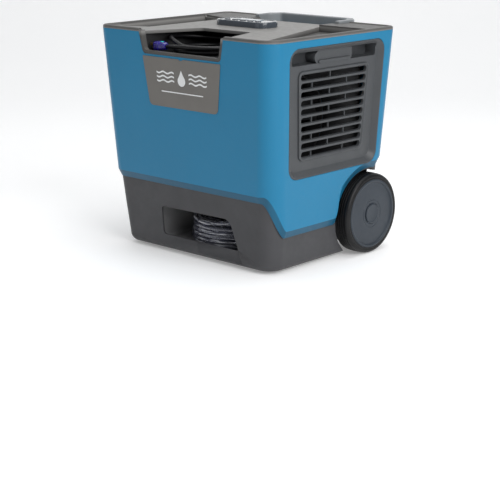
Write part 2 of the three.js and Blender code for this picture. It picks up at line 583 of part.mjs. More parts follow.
function wheels() {
  for (const [side, name] of [[-1, 'left'], [1, 'right']]) {
    const turn = (g) => (side > 0 ? alongX(g) : alongMinusX(g)).translate(0, WHEEL.y, WHEEL.z);
    add(`tire_${name}`, turn(tire()), 'rubber');
    add(`wheel_hub_${name}`, turn(hub()), 'hub');
    const cap = turned([[0, 252 + GAP], [22, 252 + GAP], [22, 254], [19, 255], [0, 255]], 24);
    const axle = turned([[0, 186], [14, 186], [14, 194.6], [8, 194.6], [8, 248], [0, 248]], 16);
    add(`hub_cap_${name}`, turn(cap), 'hub');
    add(`axle_${name}`, turn(axle), 'steel');
  }
}

function handle() {
  add('handle_grip', grip(), 'grip');
  for (const [side, name] of [[-1, 'left'], [1, 'right']]) {
    const lean = (g) => tiltedWithHandle(g).translate(side * HANDLE.x, 0, 0);
    add(`handle_tube_${name}`, lean(rod(TUBE.r, TUBE.lowZ, TUBE.topZ, 12)), 'steel');
    const guide = sleeve(TUBE.guideIn, TUBE.guideOut, TUBE.guideLow, TUBE.guideTop, 12);
    add(`handle_guide_${name}`, lean(guide), 'liner');
  }
}

function refrigeration() {
  const { x, y, r } = COMPRESSOR;
  const at = (g) => g.translate(x, y, 0);
  add('evaporator_coil', finPack(-205, -165), 'aluminium');
  add('condenser_coil', finPack(-150, -112), 'aluminium');
  const pan = box(-212, -106, -118, 134, 193.6, 204);
  add('drain_pan', carve(pan, { cut: [box(-209, -109, -115, 131, 196, 210)] }), 'liner');
  const wayThrough = new THREE.Path().absarc(x, y, r + 4, 0, 2 * Math.PI, true).getPoints(5);
  add('chassis_plate', prism(rectangle(-190, -160, 190, 152), 184, 186.5, [wayThrough]), 'zinc');
  const can = turned([[0, 22], [r - 12, 24], [r, 40], [r, 176], [r - 8, 198], [20, 208], [0, 210]], 20);
  add('compressor', at(can), 'paint');
  add('compressor_mount', at(prism(rounded(rectangle(-r, -r, r, r), 20, 3), 12, 17)), 'steel');
  const suction = [[x - 12, y, 210.8], [x - 12, y, 232], [x - 12, y + 20, 246], [-80, 138, 252],
    [-140, 141, 262], [-178, 144, 270], [-185, 136, 274], [-185, 128, 275]];
  add('suction_pipe', tube(suction, 5, 26), 'copper');
  const discharge = [[x + 12, y, 210.8], [x + 12, y, 220], [x + 6, y + 22, 230], [x - 30, y + 36, 231],
    [-100, 139, 232], [-124, 141, 232], [-131, 136, 232], [-131, 128, 232]];
  add('discharge_pipe', tube(discharge, 4, 28), 'copper');
  const drier = turned([[0, 24], [6, 24], [16, 36], [16, 120], [6, 132], [0, 132]], 14);
  add('filter_drier', drier.translate(80, 92, 0), 'copper');
  add('fan_shroud', fanShroud(), 'zinc');
  add('fan_motor', fanMotor(), 'paint');
  add('fan_blade', fanBlade(), 'aluminium');
  const electrics = box(134, 196, -150, -62, 190, 262);
  add('electrical_box', carve(electrics, { cut: [box(137, 199, -147, -65, 193, 259)] }), 'zinc');
}

// The condensate pump under the drain pan: an open tub, a head that closes it, and a float on the head's stem.
function condensatePump() {
  const at = { x: -150, y: -15 };
  const tub = box(-188, -112, -60, 30, 118, 164);
  add('pump_reservoir', carve(tub, { cut: [box(-185, -115, -57, 27, 121, 170)] }), 'white');
  const stem = rod(3, 123, 166, 10).translate(at.x, at.y, 0);
  const stopper = rod(4.5, 121.6, 124, 10).translate(at.x, at.y, 0);
  const motor = rod(20, 166, 182, 16).translate(-134, -36, 0);
  add('pump_head', carve(box(-188, -112, -60, 30, 164 + GAP, 168), { add: [stem, stopper, motor] }), 'liner');
  add('pump_float', sleeve(3.6, 15, 124.3, 136, 14).translate(at.x, at.y, 0), 'filter');
  const line = [[-105, -20, 140], [-92, -20, 141], [-81, -20, 136], [-80, -20, 127], [-80, -20, 122]];
  add('pump_line', tube(line, 5, 12), 'vinyl');
}

// The power cord lies coiled in the bin under the deck, with its plug on the coil.
function powerCord() {
  const gland = turned([[0, -4.5], [12, -4.5], [12, 1], [8, 1], [8, 10], [0, 10]], 12).rotateX(Math.PI / 2);
  add('cord_gland', gland.translate(95, BIN.back - 4.8, 440), 'rubber');
  add('power_cord_lead', tube(cordLead, CORD.r, 14), 'cord');
  const coil = sleeve(CORD.innerR, CORD.outerR, CORD.bottomZ, CORD.topZ, 32);
  add('power_cord_coil', coil.translate(CORD.x, CORD.y, 0), 'cord');
  add('power_cord_end', tube(cordEnd, CORD.r, 26), 'cord');
  add('power_plug', plugBody().translate(-90.2, -173, 460), 'plug');
}

// The drain hose lies coiled in the bay of the base. It starts at the fitting in the bay's ceiling.
function drainHose() {
  const profile = [[0, 99], [6, 99], [6, 104], [9, 104], [9, 111.5], [6, 111.5], [6, 120], [0, 120]];
  add('hose_fitting', turned(profile, 12).translate(-80, -20, 0), 'brass');
  add('drain_hose_lead', tube(hoseLead, HOSE.r, 12), 'vinyl');
  const coil = sleeve(HOSE.innerR, HOSE.outerR, HOSE.bottomZ, HOSE.topZ, 32);
  add('drain_hose_coil', coil.translate(HOSE.x, HOSE.y, 0), 'vinyl');
  add('drain_hose_end', tube(hoseEnd, HOSE.r, 8), 'vinyl');
  const connector = rod(6.5, 0, 30, 10).rotateY(-Math.PI / 2).rotateZ(-0.25);
  add('hose_connector', connector.translate(39.3, 19.2, 94.8), 'brass');
}

housings();
controls();
wheels();
handle();
refrigeration();
condensatePump();
powerCord();
drainHose();

// The origin is on the floor, midway between the front of the rim and the back of the handle.
machine.position.y = (COVER_TOP.y - HANDLE.barOut) / 2;
const dehumidifier = new THREE.Group();
dehumidifier.add(machine);
export default dehumidifier;
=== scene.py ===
from math import atan, atan2, cos, degrees, hypot, pi, radians, sin, sqrt, tan

import bmesh
import bpy
from mathutils import Euler, Matrix, Vector


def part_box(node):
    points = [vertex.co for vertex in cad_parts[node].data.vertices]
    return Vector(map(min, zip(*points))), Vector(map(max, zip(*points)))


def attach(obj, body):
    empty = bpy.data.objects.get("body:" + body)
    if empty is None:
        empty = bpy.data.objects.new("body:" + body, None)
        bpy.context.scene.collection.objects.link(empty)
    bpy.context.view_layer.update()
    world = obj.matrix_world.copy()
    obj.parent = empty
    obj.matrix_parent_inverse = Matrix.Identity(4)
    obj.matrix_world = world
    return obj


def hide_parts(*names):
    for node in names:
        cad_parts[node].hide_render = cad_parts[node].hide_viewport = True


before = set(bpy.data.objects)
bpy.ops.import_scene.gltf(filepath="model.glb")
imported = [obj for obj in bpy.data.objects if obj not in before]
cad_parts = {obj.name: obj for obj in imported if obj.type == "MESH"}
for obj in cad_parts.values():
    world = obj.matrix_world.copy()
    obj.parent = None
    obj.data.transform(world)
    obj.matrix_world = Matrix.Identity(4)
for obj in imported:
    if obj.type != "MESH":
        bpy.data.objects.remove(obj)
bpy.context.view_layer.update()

# Sizes are in millimetres in the machine's own frame, which has y = 0 midway between the front and back
# of the deck; to_row turns them into the frame's metres.
MM = 0.001
DECK_LOW, DECK_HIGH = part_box("top_deck")
SHIFT_Y = (DECK_LOW[1] + DECK_HIGH[1]) / 2
RIM_TOP = DECK_HIGH[2] / MM
LOW_Z = 5
COVER_TOP_Z = 491
COVER_TOP = (254.5, 208.8)
COVER_LOW = (234.2, 177.5)
CORNER_LOW, CORNER_TOP = 34, 26
NEAR_LOW, NEAR_TOP = 46, 38
WALL = 5
CHAMFER_HIGH, CHAMFER_IN = 15, 6
BASE_LOW = (220.8, 166.8)
BASE_DRAFT = 0.0875
BASE_INSET = 7.2
EDGE_FRONT, EDGE_SIDE, EDGE_REAR, EDGE_AT = 158, 81, 203, 120
WHEEL_Y, WHEEL_Z = 134, 90
TIRE_R, HUB_R, TIRE_IN, TIRE_OUT = 90, 77, 210, 254
ARCH_R, WELL_R, WELL_X = 101, 98, 200
ARCH_FILLET = 11
PANEL_Y, PANEL_Z, PANEL_HALF = 8, 339.75, 136.75
PANEL_TOP, PANEL_BOTTOM, PANEL_R = 158, 146, 28
LOUVRE_LOW, LOUVRE_HIGH, LOUVRE_BOTTOM, LOUVRE_TOP, LOUVRE_R = -102.75, 87.25, 106, 118, 14
NOTCH_Z, NOTCH_LOW, NOTCH_TOP, NOTCH_LIP = 445, 115, 125, 7
DECK_BOTTOM, CHANNEL_Z, HOLLOW_Z, PLATEAU_Z, CORNER_Z = 477, 480.5, 484.5, 491, 496
DECK_LEFT, DECK_RIGHT_FRONT, DECK_RIGHT_BACK, DECK_BACK, DECK_LEFT_BACK = -178, 207, 105, 121, 101
HANDLE_X, HANDLE_Y, HANDLE_HALF, TUBE_TOP = 120, 184, 7, 474
FAN_Y, FAN_Z = 8, 300
PLUG_AT = (-90.2, -173, 460)
VIEW_TURN = 42.457
SIDES = ((-1, "left"), (1, "right"))
CORD = {"r": 4.5, "x": -12, "y": -92, "outer": 84.2, "pitch": 9.2, "low": 416.8, "rise": 9.07}
HOSE = {"r": 4.75, "x": 28, "y": -62, "outer": 94.4, "pitch": 9.6, "low": 35.1, "rise": 9.54}
CORD_LEAD = [(95, -18, 440), (95, -40, 436), (92, -62, 430), (86, -84, 424), (82.5, -96, 421)]
CORD_END = [
    (-27, -170, 462.5), (-46, -165, 466), (-66, -158, 471), (-92, -144, 474), (-109, -126, 475),
    (-113, -100, 474.5), (-106, -66, 471.5), (-84, -36, 468), (-50, -16, 465.5), (-12, -9, 463.5),
    (26, -14, 462.8), (58, -34, 462.7), (76, -66, 462.7), (77, -104, 462.7), (66, -136, 462.7),
    (44, -161, 462.7), (14, -177, 462.7), (-14, -181.5, 462.7), (-38, -180, 462.5), (-57, -177, 461),
    (-74, -173, 459.5),
]
HOSE_LEAD = [(-80, -20, 98), (-80, -21, 88), (-80, -28, 72), (-80, -42, 60), (-79, -60, 54)]
HOSE_END = [(91, -14, 92.6), (78, 2, 92.8), (60, 13, 93.5), (40, 19, 94.5)]


def placed(name, data):
    """A new object, linked into the scene."""
    obj = bpy.data.objects.new(name, data)
    bpy.context.collection.objects.link(obj)
    return obj


def to_row(p):
    return Vector((p[0] * MM, p[1] * MM + SHIFT_Y, p[2] * MM))


def lerp(a, b, t):
    return a + (b - a) * t


def smoothstep(t):
    t = min(max(t, 0), 1)
    return t * t * (3 - 2 * t)


# ---------- Camera and cords ----------
def camera():
    data = bpy.data.cameras.new("camera")
    data.lens, data.sensor_width = 97.92, 36
    obj = placed("camera", data)
    obj.location = (2.0335, -2.2130 + SHIFT_Y, 0.8059)
    obj.rotation_euler = Euler((radians(74.743), 0, radians(VIEW_TURN)))
    bpy.context.scene.camera = obj


def coil(spec, wide, start, turns, sideways, first, last):
    """Points along a coil, with wide turns side by side in each layer. It starts at an angle, from the first
    radius and height, and ends at the last. sideways is 1 anticlockwise from above and -1 clockwise."""
    points_per_turn, settle, leave = 30, 0.17, 0.38
    inward_at, upward_at, step = 0.7, 0.85, 0.15
    count = round(turns * points_per_turn)

    def place(k):
        layer, across = divmod(k, wide)
        inward = across if layer % 2 == 0 else wide - 1 - across
        return spec["outer"] - spec["pitch"] * inward, spec["low"] + spec["rise"] * layer

    points = []
    for i in range(count + 1):
        turned_by = turns * i / count
        turn = min(int(turned_by), int(turns - leave))
        part = turned_by - turn
        (r0, z0), (r1, z1) = place(turn), place(turn + 1)
        if turn < int(turns - leave):
            r = lerp(r0, r1, smoothstep((part - inward_at) / step))
            z = lerp(z0, z1, smoothstep((part - upward_at) / step))
        else:
            left = turns - turned_by
            r = lerp(last[0], r0, smoothstep(left / (leave * 0.6)))
            z = lerp(last[1], z0, smoothstep(left / leave * 2 - 1))
        in_place = smoothstep(turned_by / settle)
        r, z = lerp(first[0], r, in_place), lerp(first[1], z, in_place)
        angle = radians(start + sideways * turned_by * 360)
        points.append((spec["x"] + r * cos(angle), spec["y"] + r * sin(angle), z))
    return points


def curve_piece(name, points, r, mat):
    data = bpy.data.curves.new(name, "CURVE")
    data.dimensions = "3D"
    spline = data.splines.new("NURBS")
    spline.points.add(len(points) - 1)
    for target, p in zip(spline.points, points):
        target.co = (*to_row(p), 1)
    spline.order_u = 4
    spline.use_endpoint_u = True
    spline.resolution_u = 3
    data.bevel_depth = r * MM
    data.bevel_resolution = 5
    data.use_fill_caps = True
    data.materials.append(mat)
    return placed(name, data)


def length_of(points):
    return sum((Vector(b) - Vector(a)).length for a, b in zip(points, points[1:])) * MM


# ---------- Materials ----------
class Look:
    """A material being built: its Principled shader, and nodes that read the object's own coordinates."""

    def __init__(self, name):
        self.mat = bpy.data.materials.new(name)
        self.mat.use_nodes = True
        self.nodes, self.links = self.mat.node_tree.nodes, self.mat.node_tree.links
        self.shader = self.nodes["Principled BSDF"]
        self.coords = self.node("TexCoord").outputs["Object"]

    def set(self, node, inputs):
        """Sets a node's inputs by name, with _ for each space in the name."""
        for name, value in inputs.items():
            node.inputs[name.replace("_", " ")].default_value = value
        return node

    def node(self, kind, **inputs):
        return self.set(self.nodes.new("ShaderNode" + kind), inputs)

    def surface(self, **inputs):
        """Sets the shader's own inputs, each the same all over."""
        self.set(self.shader, inputs)

    def texture(self, kind, coords=None, **inputs):
        made = self.node(kind, **inputs)
        self.links.new(self.coords if coords is None else coords, made.inputs["Vector"])
        return made

    def noise(self, patch, detail):
        """Noise with patches of the given size in metres."""
        return self.texture("TexNoise", Scale=1 / patch, Detail=detail).outputs["Fac"]

    def stretched_noise(self, stretch, scale, detail):
        coords = self.texture("Mapping", Scale=stretch).outputs["Vector"]
        return self.texture("TexNoise", coords, Scale=scale, Detail=detail).outputs["Fac"]

    def span(self, value, start, end, at_start, at_end):
        """A number that goes from one value to another while the input goes from start to end."""
        made = self.node("MapRange", From_Min=start, From_Max=end, To_Min=at_start, To_Max=at_end)
        self.links.new(value, made.inputs["Value"])
        return made.outputs["Result"]

    def color(self, value, dark, light, start=0, end=1):
        """Base colour that goes from dark to light while the input goes from start to end."""
        made = self.node("ValToRGB")
        first, last = made.color_ramp.elements
        first.position, last.position = start, end
        first.color, last.color = (*dark, 1), (*light, 1)
        self.links.new(value, made.inputs["Fac"])
        self.links.new(made.outputs["Color"], self.shader.inputs["Base Color"])

    def varied(self, color, tone, patch):
        """Base colour that drifts a little lighter and darker over patches of the given size in metres."""
        dark, light = [c * (1 - tone) for c in color], [min(c * (1 + tone), 1) for c in color]
        self.color(self.noise(patch, 4), dark, light, 0.3, 0.7)

    def rough(self, value):
        self.links.new(value, self.shader.inputs["Roughness"])

    def bumped(self, height, strength, distance):
        made = self.node("Bump", Strength=strength, Distance=distance)
        self.links.new(height, made.inputs["Height"])
        self.links.new(made.outputs["Normal"], self.shader.inputs["Normal"])

    def z_of(self, vector):
        made = self.node("SeparateXYZ")
        self.links.new(vector, made.inputs["Vector"])
        return made.outputs["Z"]

    def darken(self, factor):
        """Multiplies the base colour by a number from 0 to 1."""
        base = self.shader.inputs["Base Color"]
        made = self.node("VectorMath")
        made.operation = "SCALE"
        self.links.new(base.links[0].from_socket, made.inputs[0])
        self.links.new(factor, made.inputs["Scale"])
        self.links.new(made.outputs["Vector"], base)


def moulded(name, color, rough, grain=0.0008, depth=0.00006, tone=0.06, coat=0.0, patch=0.05):
    """Moulded plastic: slow colour drift, uneven gloss and a fine leather grain."""
    look = Look(name)
    look.varied(color, tone, patch)
    look.rough(look.span(look.noise(0.012, 5), 0.3, 0.7, rough - 0.05, rough + 0.06))
    cells = look.texture("TexVoronoi", Scale=1 / grain)
    cells.feature = "SMOOTH_F1"
    look.bumped(cells.outputs["Distance"], 0.6, depth)
    look.surface(Specular_IOR_Level=0.32, Coat_Weight=coat, Coat_Roughness=0.12)
    return look


def metal(name, color, rough, stretch=(1, 1, 40), scale=60):
    """Drawn or brushed metal: fine streaks along one direction."""
    look = Look(name)
    streaks = look.stretched_noise(stretch, scale, 6)
    look.varied(color, 0.08, 0.02)
    look.surface(Metallic=1)
    look.rough(look.span(streaks, 0, 1, rough - 0.08, rough + 0.12))
    look.bumped(streaks, 0.4, 0.00002)
    return look


def finned():
    """Thin aluminium fins standing side by side across Y."""
    look = Look("aluminium_fins")
    waves = look.texture("TexWave", Scale=150, Distortion=0.3)
    waves.bands_direction = "Y"
    # The pale bands are the fins; the dark bands between them are painted shade in the gaps.
    look.color(waves.outputs["Fac"], (0.12, 0.12, 0.13), (0.72, 0.73, 0.75))
    look.surface(Metallic=0.8, Roughness=0.4)
    look.bumped(waves.outputs["Fac"], 0.8, 0.0006)
    return look


def vinyl_hose():
    """Clear vinyl, tinted dark as painted shade of the bay seen through it, with painted highlights as white
    streaks along its turns.
    """
    look = Look("clear_vinyl")
    streaks = look.stretched_noise((22, 22, 420), 1, 3)
    # Painted highlights: the stretched noise turns the colour white in streaks along the turns, over a dark tint
    # that paints shade.
    look.color(streaks, (0.11, 0.115, 0.16), (0.93, 0.95, 1), 0.52, 0.66)
    look.surface(Roughness=0.06, Transmission_Weight=0.6, IOR=1.45, Coat_Weight=0.6, Coat_Roughness=0.05)
    look.bumped(streaks, 0.4, 0.0004)
    return look


def plug_material():
    """Blue see-through plug plastic."""
    look = Look("plug_blue")
    look.varied((0.03, 0.02, 0.3), 0.4, 0.012)
    look.surface(Roughness=0.15, Transmission_Weight=0.35, Coat_Weight=0.8)
    return look


def filter_material():
    """Washable filter: pale threads round open cells, whose dark centres are painted shade seen through the mesh.
    """
    look = Look("filter_mesh")
    cells = look.texture("TexVoronoi", Scale=380)
    look.color(cells.outputs["Distance"], (0.05, 0.055, 0.06), (0.4, 0.42, 0.43))
    look.surface(Roughness=0.9)
    look.bumped(cells.outputs["Distance"], 0.8, 0.001)
    return look


def deck_plastic():
    """Grey moulding, with painted shade in its sunk parts, and darker on its rim."""
    look = moulded("grey_deck", (0.205, 0.2, 0.192), 0.46, tone=0.05)
    height = look.z_of(look.coords)
    # Painted shade: the colour darkens below the plateau, in the channels, the hollow and the notch lip.
    look.darken(look.span(height, 0.482, 0.4905, 0.33, 1))
    look.darken(look.span(height, 0.4915, 0.4945, 1, 0.44))
    return look


def shell_plastic():
    """Blue moulding, with painted shade where it faces down along the slanted lower edge."""
    look = moulded("blue_shell", (0.003, 0.17, 0.325), 0.4, depth=0.00002, tone=0.03, coat=0.12, patch=0.2)
    facing = look.z_of(look.node("NewGeometry").outputs["Normal"])
    # Painted shade: the colour darkens the more the surface faces down.
    look.darken(look.span(facing, -0.3, -0.12, 0.45, 1))
    return look


PLASTICS = {
    "grey_base": dict(color=(0.056, 0.056, 0.06), rough=0.5, tone=0.08),
    "grey_bezel": dict(color=(0.062, 0.066, 0.071), rough=0.42),
    "bay_grey": dict(color=(0.2, 0.2, 0.203), rough=0.5, tone=0.1),
    "dark_liner": dict(color=(0.02, 0.02, 0.021), rough=0.55, tone=0.1),
    "label": dict(color=(0.15, 0.142, 0.13), rough=0.42, depth=0.00001, tone=0.04, coat=0.1),
    "rubber": dict(color=(0.0025, 0.0025, 0.003), rough=0.42, grain=0.0012, depth=0.0001, tone=0.2),
    "pod_plastic": dict(color=(0.05, 0.06, 0.074), rough=0.14, depth=0.000005, coat=1.0),
    "window": dict(color=(0.16, 0.22, 0.27), rough=0.06, depth=0.000005, coat=1.0),
    "key": dict(color=(0.07, 0.078, 0.09), rough=0.25, coat=0.5),
    "hub_plastic": dict(color=(0.026, 0.034, 0.045), rough=0.42, tone=0.05, coat=0.05),
    "grip_plastic": dict(color=(0.2, 0.215, 0.225), rough=0.38, tone=0.05, coat=0.1),
    "black_paint": dict(color=(0.01, 0.01, 0.011), rough=0.3, depth=0.00002, coat=0.5),
    "white_plastic": dict(color=(0.65, 0.65, 0.62), rough=0.45),
    "cord_jacket": dict(color=(0.006, 0.006, 0.007), rough=0.38, grain=0.0006, depth=0.00004),
    "fan_black": dict(color=(0.012, 0.012, 0.013), rough=0.4),
    "white_print": dict(color=(0.75, 0.76, 0.76), rough=0.4, depth=0.000005, tone=0.02),
    "teal_lamp": dict(color=(0.02, 0.55, 0.5), rough=0.25, depth=0.000005, tone=0.1),
}
METALS = {
    "steel": dict(color=(0.55, 0.55, 0.56), rough=0.3),
    "zinc": dict(color=(0.48, 0.49, 0.5), rough=0.45, stretch=(1, 1, 1), scale=90),
    "copper": dict(color=(0.62, 0.27, 0.14), rough=0.3),
    "brass": dict(color=(0.6, 0.43, 0.16), rough=0.3),
}
mats = {
    "blue_shell": shell_plastic().mat,
    "grey_deck": deck_plastic().mat,
    "fins": finned().mat,
    "vinyl": vinyl_hose().mat,
    "plug_plastic": plug_material().mat,
    "filter_media": filter_material().mat,
    **{name: moulded(name, **look).mat for name, look in PLASTICS.items()},
    **{name: metal(name, **look).mat for name, look in METALS.items()},
}


# ---------- Mesh helpers ----------
def raw(points, faces):
    """A hidden working object from points in millimetres in the machine's frame."""
    mesh = bpy.data.meshes.new("work")
    mesh.from_pydata([to_row(p) for p in points], [], faces)
    bm = bmesh.new()
    bm.from_mesh(mesh)
    bmesh.ops.remove_doubles(bm, verts=bm.verts, dist=1e-6)
    bmesh.ops.recalc_face_normals(bm, faces=bm.faces)
    bm.to_mesh(mesh)
    bm.free()
    return placed("work", mesh)


def applied(obj):
    """Replaces an object's mesh by the result of its modifiers."""
    bpy.context.view_layer.update()
    graph = bpy.context.evaluated_depsgraph_get()
    mesh = bpy.data.meshes.new_from_object(obj.evaluated_get(graph))
    obj.modifiers.clear()
    old, obj.data = obj.data, mesh
    bpy.data.meshes.remove(old)
    return obj


def combine(obj, others, operation):
    for other in others:
        mod = obj.modifiers.new("combine", "BOOLEAN")
        mod.operation, mod.object, mod.solver = operation, other, "EXACT"
        applied(obj)
        bpy.data.objects.remove(other)
    return obj


def cut(obj, *others):
    return combine(obj, others, "DIFFERENCE")


def join(obj, *others):
    return combine(obj, others, "UNION")


def common(obj, *others):
    return combine(obj, others, "INTERSECT")


def merged(objects):
    """One object out of several, each keeping its own closed body."""
    bm = bmesh.new()
    for o in objects:
        bm.from_mesh(o.data)
    first = objects[0]
    bm.to_mesh(first.data)
    bm.free()
    for o in objects[1:]:
        bpy.data.objects.remove(o)
    return first


def finished(obj, name, slot, body="chassis", node=None, bevel=1.0, segments=2, angle=28, mat=None):
    """Names a piece, rounds its edges, shades it and hands it to the frame."""
    obj.name = obj.data.name = name
    obj.data.materials.clear()
    obj.data.materials.append(mats[mat or slot])
    for polygon in obj.data.polygons:
        polygon.use_smooth = True
        polygon.material_index = 0
    if bevel:
        mod = obj.modifiers.new("edges", "BEVEL")
        mod.width, mod.segments, mod.limit_method = bevel * MM, segments, "ANGLE"
        mod.angle_limit = radians(angle)
        mod.use_clamp_overlap = True
        mod.harden_normals = False
    weighted = obj.modifiers.new("shading", "WEIGHTED_NORMAL")
    weighted.weight = 80
    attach(obj, body)
    if node:
        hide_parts(node)
    return obj


def skin(loops, closed=False):
    """A skin over loops with equal point counts: closed on itself, or with a face across each end."""
    n, faces = len(loops[0]), []
    for i in range(len(loops) if closed else len(loops) - 1):
        k = (i + 1) % len(loops)
        faces += [(i * n + j, i * n + (j + 1) % n, k * n + (j + 1) % n, k * n + j) for j in range(n)]
    if not closed:
        faces += [tuple(range(n)), tuple((len(loops) - 1) * n + j for j in range(n))]
    return raw([p for loop in loops for p in loop], faces)


def rounded(corners, radius, steps=8):
    """A polygon's outline with rounded corners."""
    out, n = [], len(corners)
    for i, corner in enumerate(corners):
        at = Vector(corner)
        back = (Vector(corners[i - 1]) - at).normalized()
        on = (Vector(corners[(i + 1) % n]) - at).normalized()
        half = back.angle(on) / 2
        r = radius[i] if isinstance(radius, (list, tuple)) else radius
        centre = at + (back + on).normalized() * (r / sin(half))
        start, stop = at + back * (r / tan(half)) - centre, at + on * (r / tan(half)) - centre
        turn = atan2(start.x * stop.y - start.y * stop.x, start.dot(stop))
        for k in range(steps + 1):
            out.append(tuple(centre + Matrix.Rotation(turn * k / steps, 2) @ start))
    return out


def rectangle(x0, y0, x1, y1):
    return [(x0, y0), (x1, y0), (x1, y1), (x0, y1)]


def trapezoid(low, high, y0, y1):
    return [(-low, y0), (low, y0), (high, y1), (-high, y1)]


def flat(x, y, z):
    return (x, y, z)


def facing_front(x, z, y):
    return (x, -y, z)


def loft(levels, place=flat):
    """Outlines with equal point counts, each at its own height, joined into a closed body."""
    return skin([[place(x, y, z) for x, y in outline] for outline, z in levels])


def stepped(outline, levels, place=flat):
    """A loft of one outline, drawn with its own inset at each height."""
    return loft([(outline(inset), z) for inset, z in levels], place)


def prism(outline, z0, z1, place=flat):
    return loft([(outline, z0), (outline, z1)], place)


def block(x0, x1, y0, y1, z0, z1):
    return prism(rectangle(x0, y0, x1, y1), z0, z1)


def turned(profile, segments=64, place=flat, closed=False):
    """A turned body about its own Z. The profile is (radius, height), from axis to axis or closed on itself."""
    loops = [[place(r * cos(t), r * sin(t), z)
              for t in (2 * pi * k / segments for k in range(segments))] for r, z in profile]
    return skin(loops, closed)


def cylinder(r, z0, z1, place=flat, segments=32):
    return turned([(0, z0), (r, z0), (r, z1), (0, z1)], segments, place)


# ---------- Shape of the tapered body ----------
SIDE_LEAN = atan((COVER_TOP[0] - COVER_LOW[0]) / (COVER_TOP_Z - LOW_Z))
FRONT_LEAN = atan((COVER_TOP[1] - COVER_LOW[1]) / (COVER_TOP_Z - LOW_Z))


def share(z):
    return (z - LOW_Z) / (COVER_TOP_Z - LOW_Z)


def cover_half(z):
    return lerp(COVER_LOW[0], COVER_TOP[0], share(z)), lerp(COVER_LOW[1], COVER_TOP[1], share(z))


def base_half(z):
    x, y = cover_half(z)
    grow = BASE_DRAFT * (z - LOW_Z)
    return min(BASE_LOW[0] + grow, x - BASE_INSET), min(BASE_LOW[1] + grow, y - BASE_INSET)


def corner_r(s, z):
    near = s[0] > 0 and s[1] < 0
    return lerp(NEAR_LOW if near else CORNER_LOW, NEAR_TOP if near else CORNER_TOP, share(z))


def stations(arc_steps, right=(), rear=(), left=(), front=()):
    """Places round a rounded rectangle, anticlockwise from above, as shares along its half sides and a facing."""
    def corner(a, b, start):
        return [(a, b, cos(start + pi / 2 * i / arc_steps), sin(start + pi / 2 * i / arc_steps))
                for i in range(arc_steps + 1)]

    return ([(1, b, 1, 0) for b in right] + corner(1, 1, 0) + [(a, 1, 0, 1) for a in rear]
            + corner(-1, 1, pi / 2) + [(-1, b, -1, 0) for b in left] + corner(-1, -1, pi)
            + [(a, -1, 0, -1) for a in front] + corner(1, -1, 1.5 * pi))


def on_body(s, half, inset, z, narrower=0):
    r = max(corner_r(s, z) - inset - narrower, 4)
    return (s[0] * (half[0] - inset - r) + r * s[2], s[1] * (half[1] - inset - r) + r * s[3], z)


def edge_z(s):
    """Height of the cover's lower edge: level in front, swept down to the right side, arched over the wheel
    and level again at the back."""
    sweep_from, sweep_over, behind, drop, drop_over = 12, 80, 20, 12, 30
    y = on_body(s, cover_half(EDGE_AT), 0, EDGE_AT)[1]
    z = EDGE_FRONT
    if s[0] > 0 and s[2] > 0 and s[1] < 1:
        facing = degrees(atan2(s[2], -s[3]))
        z = lerp(EDGE_FRONT, EDGE_SIDE, smoothstep((facing - sweep_from) / sweep_over))
    dy = y - WHEEL_Y
    if s[3] > 0.01 or dy > behind:
        return EDGE_REAR - drop * max(0, 1 - (dy - behind) / drop_over)
    if abs(s[2]) > 0.99 and abs(dy) < ARCH_R:
        return max(z, WHEEL_Z + sqrt(ARCH_R ** 2 - dy ** 2))
    before = -ARCH_R - dy
    if abs(s[2]) > 0.99 and 0 <= before < ARCH_FILLET and s[0] > 0:
        return z + ARCH_FILLET - sqrt(ARCH_FILLET ** 2 - (ARCH_FILLET - before) ** 2)
    return z


FILLET_YS = [WHEEL_Y - ARCH_R - ARCH_FILLET * (1 - sin(radians(a))) for a in (20, 40, 58, 74)]
ARCH_YS = [WHEEL_Y - ARCH_R * cos(radians(a)) for a in (3, 8, 13, 19, 25, 32, 40, 48, 56, 65, 74, 83, 90)]
SIDE_YS = [-118, -60, 0, 21.9] + FILLET_YS + ARCH_YS + [138]


def along_side(a):
    return [y / (cover_half(EDGE_AT)[1] - corner_r((a, y), EDGE_AT)) for y in SIDE_YS]


PERIMETER = stations(20, along_side(1), [0.5, 0, -0.5], along_side(-1)[::-1], [-0.5, 0, 0.5])


def band_high(i):
    """The chamfer's height at a station: taller where the edge runs steeply, so that its width stays even."""
    after, before = PERIMETER[(i + 1) % len(PERIMETER)], PERIMETER[i - 1]
    a, b = (on_body(s, cover_half(EDGE_AT), 0, EDGE_AT) for s in (before, after))
    run = hypot(a[0] - b[0], a[1] - b[1])
    tallest = 2.3 * CHAMFER_HIGH
    return min(CHAMFER_HIGH * hypot(1, (edge_z(after) - edge_z(before)) / run), tallest)


STEEP = [band_high(i) for i in range(len(PERIMETER))]
BANDS = [(before + 2 * here + after) / 4
         for before, here, after in zip(STEEP[-1:] + STEEP, STEEP, STEEP[1:] + STEEP)]


def wall(side):
    """Turns places on a wall into machine places: along the wall, up it and out of it."""
    lean = FRONT_LEAN if side == "front" else SIDE_LEAN
    s, c = sin(lean), cos(lean)
    half = cover_half(PANEL_Z)
    origin, u, v, w = {
        "right": ((half[0], PANEL_Y, PANEL_Z), (0, 1, 0), (s, 0, c), (c, 0, -s)),
        "left": ((-half[0], PANEL_Y, PANEL_Z), (0, -1, 0), (-s, 0, c), (-c, 0, -s)),
        "front": ((0, -half[1], PANEL_Z), (1, 0, 0), (0, -s, c), (0, -c, -s)),
    }[side]
    return lambda a, b, d: tuple(origin[k] + u[k] * a + v[k] * b + w[k] * d for k in range(3))


def panel_outline(inset):
    return rounded(trapezoid(PANEL_BOTTOM - inset, PANEL_TOP - inset, -PANEL_HALF + inset, PANEL_HALF - inset),
                   PANEL_R - inset * 0.6, 10)


def louvre_outline(inset):
    corners = trapezoid(LOUVRE_BOTTOM - inset, LOUVRE_TOP - inset, LOUVRE_LOW + inset, LOUVRE_HIGH - inset)
    return rounded(corners, max(LOUVRE_R - inset, 4), 6)


